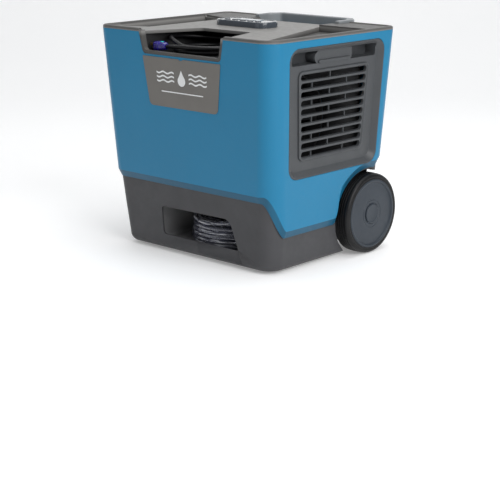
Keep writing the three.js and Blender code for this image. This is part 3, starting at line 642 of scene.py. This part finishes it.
def notch_block(inset, low=None, back=195):
    """What the front notch takes away: wider at the top, with round lower corners."""
    low, top = NOTCH_Z + inset if low is None else low, 520
    rise = (NOTCH_TOP - NOTCH_LOW) / (COVER_TOP_Z - NOTCH_Z)

    def half(z):
        return NOTCH_LOW - inset + rise * (z - NOTCH_Z)

    outline = rounded(trapezoid(half(low), half(top), low, top), [10, 10, 0.1, 0.1], 8)
    return prism(outline, back, 225, facing_front)


# ---------- Cord and hose ----------
def along(origin, forward, up=(0, 0, 1)):
    """Turns places about an axis into machine places: z runs forward along the axis."""
    w = Vector(forward).normalized()
    u = Vector(up).cross(w).normalized()
    v = w.cross(u)
    at = Vector(origin)
    return lambda x, y, z: tuple(at + u * x + v * y + w * z)


def plug_place(x, y, z):
    """Turns places about the plug's middle into machine places: x runs along it to its tail, and z is up."""
    return (PLUG_AT[0] + x, PLUG_AT[1] + y, PLUG_AT[2] + z)


def power_plug():
    """A three-pin plug with a waisted body, raised ribs and a ringed tail where the cord enters."""
    def section(x, half_wide, half_high, r):
        outline = rounded(rectangle(-half_wide, -half_high, half_wide, half_high), r, 5)
        return [plug_place(x, a, b - 0.5) for a, b in outline]

    def rib(x, w, h):
        levels = [(-0.8, 0, 0), (-0.5, 0.6, 0.35), (0.5, 0.6, 0.35), (0.8, 0, 0)]
        return skin([section(x + dx, w + wider, h + higher, 5) for dx, wider, higher in levels])

    levels = [(-15, 10.8, 8.4, 5), (-14, 12, 9.6, 6), (-5, 12.3, 9.8, 6), (1, 11, 9.3, 6), (6, 9.6, 8.7, 5),
              (11, 7.6, 7.6, 5), (14.6, 6.6, 6.6, 4.6), (15.4, 6, 6, 4.4)]
    body = skin([section(*level) for level in levels])
    body = join(body, rib(-9.5, 12, 9.6), rib(-1.5, 11.5, 9.4), rib(8.5, 8.5, 8))
    return finished(body, "power_plug_body", "plug_plastic", node="power_plug", bevel=0.5)


def plug_pins():
    """Two blades and a round pin at the plug's face, and the lamp on its top."""
    outline = rounded(rectangle(-0.9, -3, 0.9, 3), 0.8, 3)
    blades = [prism(outline, -27.6, -14, lambda a, b, d, y=y: plug_place(d, y + a, b + 2.4))
              for y in (-6.2, 6.2)]
    pin = turned([(0, -28), (1.4, -27.7), (2.3, -26.5), (2.4, -14), (0, -14)], 24,
                 lambda a, b, d: plug_place(d, a, b - 5.6))
    pins = finished(merged(blades + [pin]), "power_plug_pins", "brass", bevel=0.2)
    lamp = turned([(0, 9.5), (2.6, 9.4), (4, 8.9), (4, 7), (0, 7)], 24, lambda a, b, d: plug_place(a + 1, b, d))
    return pins, finished(lamp, "power_plug_lamp", "plug_plastic", bevel=0.2, mat="teal_lamp")


def cord_gland():
    """A nut and a ringed, tapered strain relief that points forward out of the bin's rear wall."""
    place = along((95, -0.8, 440), (0, 1, 0))
    nut = turned([(0, 4.5), (12, 4.5), (12, 1.2), (11.2, 0.4), (9.2, 0.4), (9.2, -0.2), (0, -0.2)], 6, place)
    tip, pitch, ring = -17, 3.4, 2.4
    sleeve = [(0, tip)]
    for k in range(5):
        far, r = tip + k * pitch, 6 + 0.35 * k
        near = far + ring
        sleeve += [(r - 0.9, far), (r, far + 0.3), (r + 0.15, near - 0.3), (r - 0.8, near)]
    sleeve += [(7, 1), (8, 1.2), (8, 9.6), (0, 9.6)]
    gland = merged([nut, turned(sleeve, 32, place)])
    return finished(gland, "cord_gland_relief", "rubber", node="cord_gland", bevel=0.35)


def power_cord():
    wound = coil(CORD, wide=3, start=-3, turns=14 + 97.9 / 360, sideways=-1,
                 first=(94.5, 421), last=(79.4, 462.5))
    route = CORD_LEAD[:-1] + wound + CORD_END[1:]
    cord = curve_piece("power_cord", route, CORD["r"], mats["cord_jacket"])
    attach(cord, "chassis")
    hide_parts("power_cord_lead", "power_cord_coil", "power_cord_end")
    plug = power_plug()
    pins, lamp = plug_pins()
    gland = cord_gland()
    round(length_of(route), 2)


def hose_fitting():
    """A barbed brass stub that points down out of the bay's roof, above a nut."""
    profile = [(0, 99), (5.2, 99), (5.8, 99.5), (5.2, 100.6), (6, 101), (5.4, 102.4), (6, 102.8), (6, 104),
               (8.6, 104), (9, 104.5), (9, 111), (8.6, 111.5), (6, 111.5), (6, 120), (0, 120)]
    body = turned(profile, 40, along((-80, -20, 0), (0, 0, 1), (0, 1, 0)))
    return finished(body, "hose_fitting_barb", "brass", node="hose_fitting", bevel=0.3)


def hose_connector():
    """A brass end with a collar, in line with the hose's last stretch."""
    profile = [(0, 0), (4.6, 0), (5.2, 0.6), (5.2, 9), (6.2, 9), (6.5, 9.4), (6.5, 15), (6.2, 15.4), (5.4, 15.4),
               (5.4, 16.6), (6.2, 16.6), (6.5, 17), (6.5, 28.6), (6, 30), (4.4, 30), (4, 29.4), (4, 22), (0, 22)]
    turn = 0.25
    body = turned(profile, 40, along((39.3, 19.2, 94.8), (-cos(turn), sin(turn), 0)))
    return finished(body, "hose_connector_end", "brass", node="hose_connector", bevel=0.3)


def drain_hose():
    wound = coil(HOSE, wide=4, start=180, turns=23 + 217 / 360, sideways=1,
                 first=(107, 54), last=(79.2, 92.6))
    route = HOSE_LEAD[:-1] + wound + HOSE_END[1:]
    hose = curve_piece("drain_hose", route, HOSE["r"], mats["vinyl"])
    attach(hose, "chassis")
    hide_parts("drain_hose_lead", "drain_hose_coil", "drain_hose_end")
    fitting, connector = hose_fitting(), hose_connector()
    round(length_of(route), 2)


# ---------- Housings ----------
def cover_shell():
    """A thin tapered wall with a slanted lower edge, open at the side panels, the notch and the handle."""
    def loop(inset, z=None, above=None):
        """One loop of the wall, at a height or at a share of the chamfer above the lower edge."""
        heights = [edge_z(s) + above * band if z is None else z for s, band in zip(PERIMETER, BANDS)]
        return [on_body(s, cover_half(at), inset, at) for s, at in zip(PERIMETER, heights)]

    shell = skin([loop(CHAMFER_IN, above=0), loop(0, above=1), loop(0, COVER_TOP_Z), loop(WALL, COVER_TOP_Z),
                  loop(WALL, above=1), loop(CHAMFER_IN + 0.9, above=0)], closed=True)
    openings = [prism(panel_outline(0), -20, 20, wall(side)) for side in ("right", "left")]
    handle_gap = block(-HANDLE_X - 12, HANDLE_X + 12, 180, 230, 474, 500)
    cover = cut(shell, *openings, notch_block(0), handle_gap)
    finished(cover, "cover_body", "blue_shell", node="cover_shell", bevel=1.3, segments=3, angle=12)


def axle_place(side):
    return lambda x, y, z: (side * z, WHEEL_Y + x, WHEEL_Z + y)


def base_tray():
    """The lower tub, with a round housing for each wheel, the bay's mouth and a wedge cut away below it."""
    overlap, above_all = 13, 900

    def level(inset, z, below=2):
        """One loop of the tub, no higher than a little above the cover's lower edge."""
        heights = [min(z, edge_z(s) + overlap - below) for s in PERIMETER]
        return [on_body(s, base_half(at), inset, at, BASE_INSET) for s, at in zip(PERIMETER, heights)]

    outside = [level(13, 6), level(8.2, 6.6), level(5, 9), level(1.6, 13.6), level(0, 19), level(0, 88),
               level(0, 165), level(0, above_all, 0)]
    inside = [level(4, above_all, 0), level(4, 165), level(4, 88), level(4, 22), level(9, 13), level(17, 10)]
    housings = [common(cylinder(WELL_R + 5, WELL_X - 5, TIRE_OUT, axle_place(side), 96), skin(outside))
                for side in (1, -1)]
    tub = join(skin(outside + inside, closed=True), *housings)
    for side in (1, -1):
        place = axle_place(side)
        tub = cut(tub, cylinder(WELL_R, WELL_X, 300, place, 96), cylinder(8.4, 150, 300, place))
    mouth = rounded([(-97, 41), (131, 41), (110, 108), (-97, 106)], [8, 4, 22, 8], 10)

    def sill_loop(z, right):
        front = -BASE_LOW[1] - BASE_DRAFT * (z - LOW_Z)
        return [(10, front, z), (10, front - 20, z), (right, front - 20, z), (right, front + 3, z)]

    tub = cut(tub, prism(mouth, 150, 190, facing_front), skin([sill_loop(-1, 143.5), sill_loop(43, 129)]))
    finished(tub, "base_body", "grey_base", node="base_tray", bevel=1.6, segments=3, angle=20)


def hose_bay():
    """The tub behind the base's mouth, with a port in its roof for the hose fitting."""
    outer = block(-107, 143, -163.5, 47, 27, 115)
    room = prism(rounded(rectangle(-104, 30, 140, 112), 9, 6), -44, 170, facing_front)
    port = cylinder(6.5, 111, 122, lambda x, y, z: (x - 80, y - 20, z))
    bay = cut(outer, room, port)
    finished(bay, "hose_bay_tub", "dark_liner", mat="bay_grey", node="hose_bay_liner", bevel=0.8)


DECK_RING = stations(20, front=(-0.5, 0, 0.5), rear=(0.5, 0, -0.5))


def deck_row(inset, z):
    return [on_body(s, cover_half(min(z, COVER_TOP_Z)), inset, z) for s in DECK_RING]


def deck_tray(z):
    """What a tray sunk to a height takes out of the deck inside its rim."""
    levels = [(16, z), (14.2, z + 0.8), (9.6, RIM_TOP - 0.8), (8.6, RIM_TOP - 0.05), (8, RIM_TOP + 0.5)]
    return skin([deck_row(*level) for level in levels])


def column(outline, low=DECK_BOTTOM - 7, high=RIM_TOP + 12):
    return prism(outline, low, high)


def top_deck():
    """A rim round a plateau, with raised rear corners, sunk side channels and a hole over the cord bin."""
    seat = COVER_TOP_Z + 0.3
    rim = [(WALL + 0.5, DECK_BOTTOM), (WALL + 0.5, seat), (0.2, seat), (0, RIM_TOP - 4.6), (0.4, RIM_TOP - 2.6),
           (1.4, RIM_TOP - 1), (2.8, RIM_TOP - 0.2), (4.2, RIM_TOP)]
    body = cut(skin([deck_row(*level) for level in rim]), deck_tray(PLATEAU_Z))
    arm, well, wide, rear = HANDLE_X - 13, HANDLE_X + HANDLE_HALF + 1, 240, 196
    corners = [
        [(-wide, DECK_BACK), (DECK_LEFT, DECK_LEFT_BACK), (-arm, DECK_BACK + 8), (-arm, rear), (-wide, rear)],
        [(DECK_RIGHT_BACK, DECK_BACK), (wide, DECK_BACK), (wide, rear), (arm, rear)],
    ]
    body = join(body, *[column(corner, DECK_BOTTOM + 1, CORNER_Z) for corner in corners],
                block(-well - 3, well + 3, 159, 201.5, 470, PLATEAU_Z - 1))
    channels = [
        [(-260, -152), (-226, -152), (DECK_LEFT, -126), (DECK_LEFT, DECK_LEFT_BACK), (-260, DECK_BACK)],
        [(DECK_RIGHT_FRONT, -184), (260, -184), (260, DECK_BACK), (DECK_RIGHT_BACK, DECK_BACK)],
    ]
    body = cut(body, *[common(deck_tray(CHANNEL_Z), column(channel)) for channel in channels])
    hollow = column([(DECK_LEFT + 6, -199.5), (DECK_RIGHT_FRONT - 6, -199.5),
                     (DECK_RIGHT_BACK - 4, DECK_BACK - 3), (DECK_LEFT + 6, DECK_LEFT_BACK - 3)], high=HOLLOW_Z)
    recess = column(rounded([(-128, -202), (112, -202), (68, -60), (-75, -64)], [1, 1, 12, 12], 8))
    body = cut(body, hollow, recess, notch_block(0.4, NOTCH_Z))
    inside_cover = skin([deck_row(0.6, NOTCH_Z - 5), deck_row(0.6, RIM_TOP - 4)])
    lip = common(notch_block(0.4, NOTCH_Z + 0.3), inside_cover)
    body = join(body, cut(lip, block(-200, 200, -195, 300, 400, 600)))
    body = cut(body, notch_block(NOTCH_LIP), block(-well, well, 162, 260, 474.7, 520))
    body = cut(body, *[cylinder(10, 440, 500, tube_place(side)) for side in (1, -1)])
    finished(body, "deck_top", "grey_deck", node="top_deck", bevel=0.9, segments=3, angle=24)


def cord_bin():
    """The open bin under the deck, notched in front, with a hole in its rear wall for the gland."""
    def inside(inset):
        return rounded(rectangle(-124 + inset, -194 + inset, 124 - inset, 4 - inset), 10 - inset * 0.6, 8)

    bin_body = cut(prism(rounded(rectangle(-128, -198, 128, 8), 12, 8), 408, HOLLOW_Z - 0.3),
                   stepped(inside, [(7, 412), (2.2, 414.4), (0, 420), (0, 489)]),
                   notch_block(-2, NOTCH_Z - 1, 191),
                   cylinder(8.4, -12, 12, along((95, 6, 440), (0, 1, 0))))
    finished(bin_body, "cord_bin_tub", "dark_liner", node="cord_bin", bevel=0.8)


def drop(x, y, high):
    """Outline of a water drop standing on its round end."""
    r = high * 0.33
    turns = [radians(-210 + 240 * k / 32) for k in range(33)]
    out = [(x + r * cos(t), y + r + r * sin(t)) for t in turns]
    tip, start = (x, y + high), out[0]

    def side(a, b):
        """Points between two ends, drawn in a little toward the middle."""
        steps = [k / 6 for k in range(1, 6)]
        return [(lerp(lerp(a[0], b[0], t), x, 0.1 * sin(pi * t)), lerp(a[1], b[1], t)) for t in steps]

    return out + side(out[-1], tip) + [tip] + side(tip, start)


def wave(x0, x1, y, swing, width):
    """Outline of a wavy line of even width."""
    steps = 40
    middle = [(lerp(x0, x1, k / steps), y + swing * sin(2 * pi * k / 20)) for k in range(steps + 1)]
    return [(a, b - width / 2) for a, b in middle] + [(a, b + width / 2) for a, b in reversed(middle)]


def label_plate():
    """The plate below the notch, with a drop between two sets of waves and a line under them."""
    place = wall("front")
    low, high, face, print_top = 335 - PANEL_Z, 441 - PANEL_Z, 1.5, 1.8
    plate = cut(prism(rounded(trapezoid(101, 115, low, high), [12, 12, 2, 2], 10), 0.3, face, place),
                cylinder(10.6, -4, 4, lambda x, y, z: place(x, high + 8 + y, z), 96))
    finished(plate, "label_panel", "label", node="label_plate", bevel=0.35)
    marks = [prism(drop(0, 44, 34), face, print_top, place)]
    marks += [prism(wave(side * 22, side * 74, y, 1.8, 3.4), face, print_top, place)
              for side in (-1, 1) for y in (52, 61, 70)]
    finished(merged(marks), "label_air_and_drop_mark", "white_plastic", bevel=0, mat="white_print")
    line = prism(rounded(rectangle(-62, 28, 62, 30.4), 1.1, 4), face, print_top, place)
    finished(line, "label_line", "white_plastic", bevel=0, mat="white_print")


def side_bezel(side, name):
    """The recessed frame in a side panel, with a hand-hold round a centre block and ledge."""
    place = wall(side)
    body = stepped(panel_outline, [(0.5, -14), (0.5, -0.6), (1.2, 0.4), (2, 0.6)], place)
    body = join(body, prism(rounded(rectangle(-141, 96, 141, 129), 8, 6), -41, -12, place))
    levels = [(14.5, -11), (13, -10.7), (11.8, -9.6), (4.4, -0.6), (3.2, 0.3), (2.6, 1)]
    recess = stepped(panel_outline, levels, place)
    room = prism(rounded(rectangle(-138, 99, 138, 126), 6, 6), -38, 0, place)
    centre = rounded([(-58, 98), (58, 98), (58, 127), (-52, 127), (-68, 114)], [7, 9, 9, 10, 10], 6)
    hand_hold = cut(room, prism(centre, -39, -12, place))
    body = cut(body, recess, prism(louvre_outline(0), -20, 2, place), hand_hold)
    ledge_low = rounded(rectangle(-54, 98.5, 52, 106), 3, 5)
    ledge_top = rounded(rectangle(-53, 99, 51, 105), 3, 5)
    body = join(body, loft([(ledge_low, -13), (ledge_top, -8.6)], place))
    finished(body, f"{name}_bezel_frame", "grey_bezel", node=f"{name}_bezel", segments=3, angle=24)


def louvres(side, name, body):
    """Ten slots with rounded ends between slanted bars, small ribs that tie the bars, and a bead all round."""
    place = wall(side)
    high = LOUVRE_HIGH - LOUVRE_LOW
    border, bar, count, slope, rib_half = 7, 4.6, 10, -0.2, 1.1
    pitch = (high - 2 * border + bar) / count

    def slanted(x, y, z):
        return place(x, y + slope * (z + 11), z)

    slots, ribs = [], []
    for i in range(count):
        low = LOUVRE_LOW + border + i * pitch
        top = low + pitch - bar
        half = lerp(LOUVRE_BOTTOM, LOUVRE_TOP, (low - LOUVRE_LOW) / high) - border - 1
        slots.append(prism(rounded(rectangle(-half, low, half, top), 6, 6), -30, 0, slanted))
        for at in ((0.45,) if i % 2 else (0.18, 0.71)):
            x = lerp(-half, half, at)
            rib = rectangle(x - rib_half, low - 1.5, x + rib_half, top + 1.5)
            ribs.append(prism(rib, -15.5, -12, slanted))
    plate = stepped(louvre_outline, [(0.4, -16), (0.4, -9.6), (0.8, -8.4), (1.8, -7.6), (2.6, -7.5), (4, -7.5),
                                     (4.9, -7.9), (5.6, -9.2)], place)
    grille = join(cut(plate, merged(slots)), merged(ribs))
    finished(grille, f"{name}_louvres", "grey_bezel", body=body, node=f"{name}_grille", bevel=0.7, segments=3,
             angle=30)


def feet():
    profile = [(0, 0), (12, 0), (14.6, 0.5), (15.8, 2), (16, 4), (15.2, 5.7), (0, 5.7)]
    for side, name in SIDES:
        foot = turned(profile, 48, lambda x, y, z: (side * 165 + x, y - 125, z))
        finished(foot, f"foot_pad_{name}", "rubber", node=f"foot_{name}", bevel=0.3)


# ---------- Controls ----------
def controls():
    """The raised pod with a dished top, a window and a row of round keys in front of it."""
    x0, y0, half_x, half_y, top, bottom = -33, 35.5, 76, 32.5, 504, PLATEAU_Z + 0.3
    keys, key_pitch, key_y = ["power", "mode", "up", "down", "pump"], 23, y0 - 14

    def outline(inset):
        pad = rectangle(x0 - half_x + inset, y0 - half_y + inset, x0 + half_x - inset, y0 + half_y - inset)
        return rounded(pad, 24 - inset, 12)

    def window(gap):
        return rounded(rectangle(x0 - 34 + gap, y0 + gap, x0 + 34 - gap, y0 + 20 - gap), 3, 6)

    def at_key(i, z=0):
        x = x0 + (i - 2) * key_pitch
        return lambda a, b, c: (x + a, key_y + b, z + c)

    pod = stepped(outline, [(0, bottom), (0.1, bottom + 3), (0.6, top - 3.4), (1.2, top - 1.6), (2.4, top - 0.4),
                            (4, top)])
    pod = cut(pod, stepped(outline, [(7, top - 0.9), (5.6, top - 0.2), (5.4, top + 1)]))
    holes = [cylinder(7.3, top - 6, top + 2, at_key(i), 40) for i in range(len(keys))]
    pod = cut(pod, *holes, prism(window(0), top - 2, top + 2))
    finished(pod, "control_pod_body", "pod_plastic", node="control_pod", bevel=0.4)
    glass_top = [(lerp(x, x0, 0.012), lerp(y, y0 + 10, 0.03)) for x, y in window(0.3)]
    glass = loft([(window(0.3), top - 1.7), (window(0.3), top - 0.1), (glass_top, top + 0.2)])
    finished(glass, "display_glass", "window", node="display_window", bevel=0)
    profile = [(0, -3.5), (7, -3.5), (7, 0.4), (6.6, 1.1), (5.8, 1.4), (4.4, 1.2), (2.6, 0.95), (0, 0.9)]
    for i, key in enumerate(keys):
        cap = turned(profile, 48, at_key(i, top))
        finished(cap, f"key_cap_{key}", "key", body=f"key_{key}", node=f"button_{key}", bevel=0.2)


# ---------- Wheels ----------
def tire_profile():
    """A section through the tyre, (radius, distance out): ribs round a low crown, and a lip outside the hub."""
    r, ribs, start, end = TIRE_R, 6, TIRE_IN + 4.5, TIRE_OUT - 4.5
    wide = (end - start) / ribs
    profile = [(HUB_R, TIRE_IN), (r - 8, TIRE_IN), (r - 4, TIRE_IN + 1), (r - 2, TIRE_IN + 3)]
    for k in range(ribs):
        crown = r - 1.1 * (2 * (k + 0.5) / ribs - 1) ** 2
        a, b = start + k * wide, start + (k + 1) * wide - 1.5
        profile += [(crown - 0.5, a), (crown, a + 0.6), (crown, b - 0.6), (crown - 0.5, b)]
        if k < ribs - 1:
            profile += [(crown - 2, b + 0.2), (crown - 2, b + 1.3)]
    wall_side = [(r - 2, -3), (r - 4, -1.2), (r - 7, -0.2), (r - 8.4, 0), (r - 9, -0.8), (HUB_R + 2.4, -0.8),
                 (HUB_R + 1.2, -0.1), (HUB_R, -0.1)]
    return profile + [(radius, TIRE_OUT + out) for radius, out in wall_side]


def wheels():
    r = HUB_R - 0.3
    hub_profile = [(8.4, 206), (20, 206), (20, 226), (60, 234), (60, 212), (r, 212), (r, 253.4), (r - 0.8, 254.4),
                   (r - 3, 255), (r - 5, 254.6), (r - 6.2, 253), (r - 7, 251.6), (r - 9, 251.2), (40, 252.2),
                   (31.6, 252.3), (31.2, 251.7), (30.2, 251.7), (29.8, 252.3), (23.6, 252.3), (23.2, 251.6),
                   (8.4, 251.6)]
    cap_profile = [(0, 252.3), (22, 252.3), (22, 253.6), (21.2, 254.5), (19.6, 254.9), (18.6, 254.7), (17, 254.1),
                   (0, 253.9)]
    for side, name in SIDES:
        place = axle_place(side)
        body = f"wheel_{name}"
        tire = turned(tire_profile(), 128, place, closed=True)
        finished(tire, f"tire_ribbed_{name}", "rubber", body=body, node=f"tire_{name}", bevel=0.25,
                 angle=40)
        hub = turned(hub_profile, 128, place, closed=True)
        finished(hub, f"hub_disc_{name}", "hub_plastic", body=body, node=f"wheel_hub_{name}", bevel=0.3)
        cap = turned(cap_profile, 96, place)
        finished(cap, f"hub_cap_disc_{name}", "hub_plastic", body=body, node=f"hub_cap_{name}", bevel=0.2)


# ---------- Handle ----------
def tube_place(side):
    """Places about a handle tube's own axis, which leans forward with the rear wall."""
    s, c = sin(FRONT_LEAN), cos(FRONT_LEAN)
    return lambda x, y, z: (side * HANDLE_X + x, HANDLE_Y + y * c + (z - TUBE_TOP) * s,
                            TUBE_TOP - y * s + (z - TUBE_TOP) * c)


def handle():
    """A flat three-sided grip, on two tubes that slide in sleeves."""
    low, top, arm_front, bar_in, bar_out, bevel_long = 475, 502, 165, 226, 244, 28

    def arch(side, back, front, slant):
        return [(-side, front), (side, front), (side, back - bevel_long), (side - slant, back),
                (-side + slant, back), (-side, back - bevel_long)]

    def outer(inset):
        radii = [max(r - inset, 1.5) for r in (5, 5, 20, 16, 16, 20)]
        return rounded(arch(HANDLE_X + HANDLE_HALF - inset, bar_out - inset, arm_front + inset, 20), radii, 10)

    def inner(grow):
        radii = [1, 1, 10, 8, 8, 10]
        return rounded(arch(HANDLE_X - HANDLE_HALF + grow, bar_in + grow, arm_front - 10, 15), radii, 8)

    grip = stepped(outer, [(3, low), (1, low + 0.8), (0, low + 3), (0, top - 4), (0.9, top - 1.4),
                           (2.6, top - 0.2), (4, top)])
    hollow = stepped(inner, [(2.6, low - 5), (2.6, low), (0.8, low + 1), (0, low + 3), (0, top - 4),
                             (0.8, top - 1.2), (2.6, top), (2.6, top + 5)])
    finished(cut(grip, hollow), "handle_bar", "grip_plastic", body="pull_handle", node="handle_grip", bevel=0.6)
    for side, name in SIDES:
        place = tube_place(side)
        tube = turned([(0, 108), (5, 108), (6, 109), (6, TUBE_TOP), (0, TUBE_TOP)], 40, place)
        finished(tube, f"handle_rod_{name}", "steel", body="pull_handle", node=f"handle_tube_{name}", bevel=0)
        section = [(6.4, 205), (9, 205), (9, 466), (8.4, 468), (7, 468), (6.4, 467)]
        guide = turned(section, 40, place, closed=True)
        finished(guide, f"handle_sleeve_{name}", "dark_liner", node=f"handle_guide_{name}", bevel=0)


# ---------- Fan ----------
def fan_blade(spin):
    """One twisted blade, swept forward at its tip, as a closed sheet of even thickness."""
    across, outward, root, tip, middle_x, chord, half_thick = 12, 10, 26, 91.6, 112, 34, 0.8

    def point(i, j, thick):
        out, part = j / outward, i / across - 0.5
        r = lerp(root, tip, out)
        sweep = part * lerp(0.95, 0.62, out) + 0.16 * out ** 2
        pitch = lerp(0.9, 0.42, out)
        x = middle_x + part * chord * sin(pitch) + 3 * (1 - (2 * part) ** 2) + thick
        return tuple(spin @ Vector((x, r * sin(sweep), r * cos(sweep))) + Vector((0, FAN_Y, FAN_Z)))

    n, sides = across + 1, (-half_thick, half_thick)
    layer = n * (outward + 1)
    points = [point(i, j, thick) for thick in sides for j in range(outward + 1) for i in range(n)]
    corners = [t * layer + j * n + i for t in (0, 1) for j in range(outward) for i in range(across)]
    faces = [(k, k + 1, k + n + 1, k + n) for k in corners]
    edge = ([(0, i) for i in range(n)] + [(j, n - 1) for j in range(1, outward + 1)]
            + [(outward, i) for i in range(n - 2, -1, -1)] + [(j, 0) for j in range(outward - 1, 0, -1)])
    for (j0, i0), (j1, i1) in zip(edge, edge[1:] + edge[:1]):
        a, b = j0 * n + i0, j1 * n + i1
        faces.append((a, b, b + layer, a + layer))
    return raw(points, faces)


def fan_blades():
    """Five twisted blades on a domed hub."""
    hub = turned([(4.3, 100), (27, 100), (28, 102), (28, 118), (25, 122.6), (18, 124), (4.3, 124)], 64,
                 lambda x, y, z: (z, FAN_Y + x, FAN_Z + y), closed=True)
    blades = [fan_blade(Matrix.Rotation(2 * pi * k / 5, 3, "X")) for k in range(5)]
    finished(merged([hub] + blades), "fan_blades_twisted", "fan_metal", body="fan", node="fan_blade", bevel=0.3,
             segments=1, angle=50, mat="fan_black")


def outlet_duct():
    """A dark funnel from the fan's round duct to the outlet, notched round the electrical box: a dark sheet that
    paints shade inside the outlet.
    """
    count, round_r, square_half, square_high, square_z, reach_most = 64, 98, 117, 96, 333, 1.33

    def ring(x, grow, square):
        out = []
        for k in range(count):
            t = 2 * pi * (k + 0.5) / count
            c, s = cos(t), sin(t)
            r = lerp(1, min(1 / max(abs(c), abs(s)), reach_most), square)
            out.append((x, FAN_Y + (lerp(round_r, square_half, square) + grow) * r * c,
                        lerp(FAN_Z, square_z, square) + (lerp(round_r, square_high, square) + grow) * r * s))
        return out

    funnel = cut(skin([ring(131, 2, 0), ring(216, 2, 1)]), skin([ring(130, 0, 0), ring(217, 0, 1)]),
                 block(129, 199, -153, -59, 187, 265))
    finished(funnel, "outlet_shade_lining", "dark_liner", bevel=0)


def rear_shade_plate():
    """A dark plate beside the fan's air path, from the condenser to the shroud, stepped over the pipes: a dark
    sheet that paints shade inside the machine.
    """
    front, back = 127.5, 129.5
    plate = join(block(-108, 87, front, back, 264, 402), block(-8, 87, front, back, 207, 265))
    finished(plate, "shade_plate_rear", "dark_liner", bevel=0)


# ---------- Pieces kept as the frame has them ----------
KEPT = {
    "filter_media": ["air_filter"],
    "steel": ["axle_left", "axle_right", "compressor_mount"],
    "fins": ["evaporator_coil", "condenser_coil"],
    "dark_liner": ["drain_pan", "fan_shroud", "pump_head"],
    "zinc": ["chassis_plate"],
    "black_paint": ["compressor", "fan_motor", "electrical_box"],
    "copper": ["suction_pipe", "discharge_pipe", "filter_drier"],
    "white_plastic": ["pump_reservoir", "pump_float"],
    "vinyl": ["pump_line"],
}


def kept_pieces():
    """Gives the inner parts their materials and a fine rounded edge."""
    for mat, names in KEPT.items():
        for name in names:
            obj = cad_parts[name]
            if not obj.material_slots:
                obj.data.materials.append(mats[mat])
            for slot in obj.material_slots:
                slot.material = mats[mat]
            mod = obj.modifiers.new("edges", "BEVEL")
            mod.width, mod.segments, mod.limit_method, mod.angle_limit = 0.5 * MM, 2, "ANGLE", radians(40)
            obj.modifiers.new("shading", "WEIGHTED_NORMAL")


# ---------- Stage ----------
def area_light(name, at, size, power):
    middle = Vector((0, 0, 0.28))
    data = bpy.data.lights.new(name, "AREA")
    data.shape, data.size, data.size_y, data.energy = "RECTANGLE", size[0], size[1], power
    obj = placed(name, data)
    obj.location = at
    obj.rotation_euler = (middle - Vector(at)).to_track_quat("-Z", "Y").to_euler()


def floor():
    """A pale floor that bends up into a wall behind the machine."""
    reach, back, rise, bend, steps = 6, 3.2, 5, 1.2, 16
    curve = [(back - bend + bend * sin(pi / 2 * k / steps), bend - bend * cos(pi / 2 * k / steps))
             for k in range(1, steps + 1)]
    profile = [(-reach, 0), (back - bend, 0), *curve, (back, rise)]
    points = [(x, y, z) for y, z in profile for x in (-reach, reach)]
    faces = [(2 * i, 2 * i + 1, 2 * i + 3, 2 * i + 2) for i in range(len(profile) - 1)]
    mesh = bpy.data.meshes.new("floor")
    mesh.from_pydata(points, [], faces)
    for polygon in mesh.polygons:
        polygon.use_smooth = True
    look = Look("floor_pale")
    look.varied((0.86, 0.86, 0.86), 0.01, 0.6)
    look.surface(Roughness=0.7, Emission_Color=(1, 1, 1, 1), Emission_Strength=0.22)
    mesh.materials.append(look.mat)
    obj = placed("floor", mesh)
    obj.rotation_euler = Euler((0, 0, radians(VIEW_TURN)))


def stage():
    floor()
    world = bpy.data.worlds.new("studio")
    world.use_nodes = True
    background = world.node_tree.nodes["Background"].inputs
    background["Color"].default_value, background["Strength"].default_value = (0.93, 0.96, 1, 1), 0.27
    bpy.context.scene.world = world
    area_light("key_right", (2.6, -0.5, 1.7), (2.2, 1.8), 62)
    area_light("front_fill", (-0.6, -3.0, 1.3), (2.4, 1.6), 4)
    area_light("overhead", (0.2, 0.2, 2.8), (2.4, 2.4), 48)
    area_light("left_fill", (-2.6, -0.6, 1.2), (1.6, 1.6), 5)


bpy.context.scene.view_settings.view_transform = "Standard"
camera()
power_cord()
drain_hose()
cover_shell()
base_tray()
hose_bay()
top_deck()
cord_bin()
label_plate()
for wall_side, wall_name, wall_body in (("right", "outlet", "chassis"), ("left", "inlet", "inlet_panel")):
    side_bezel(wall_side, wall_name)
    louvres(wall_side, wall_name, wall_body)
feet()
controls()
wheels()
handle()
fan_blades()
outlet_duct()
rear_shade_plate()
kept_pieces()
stage()
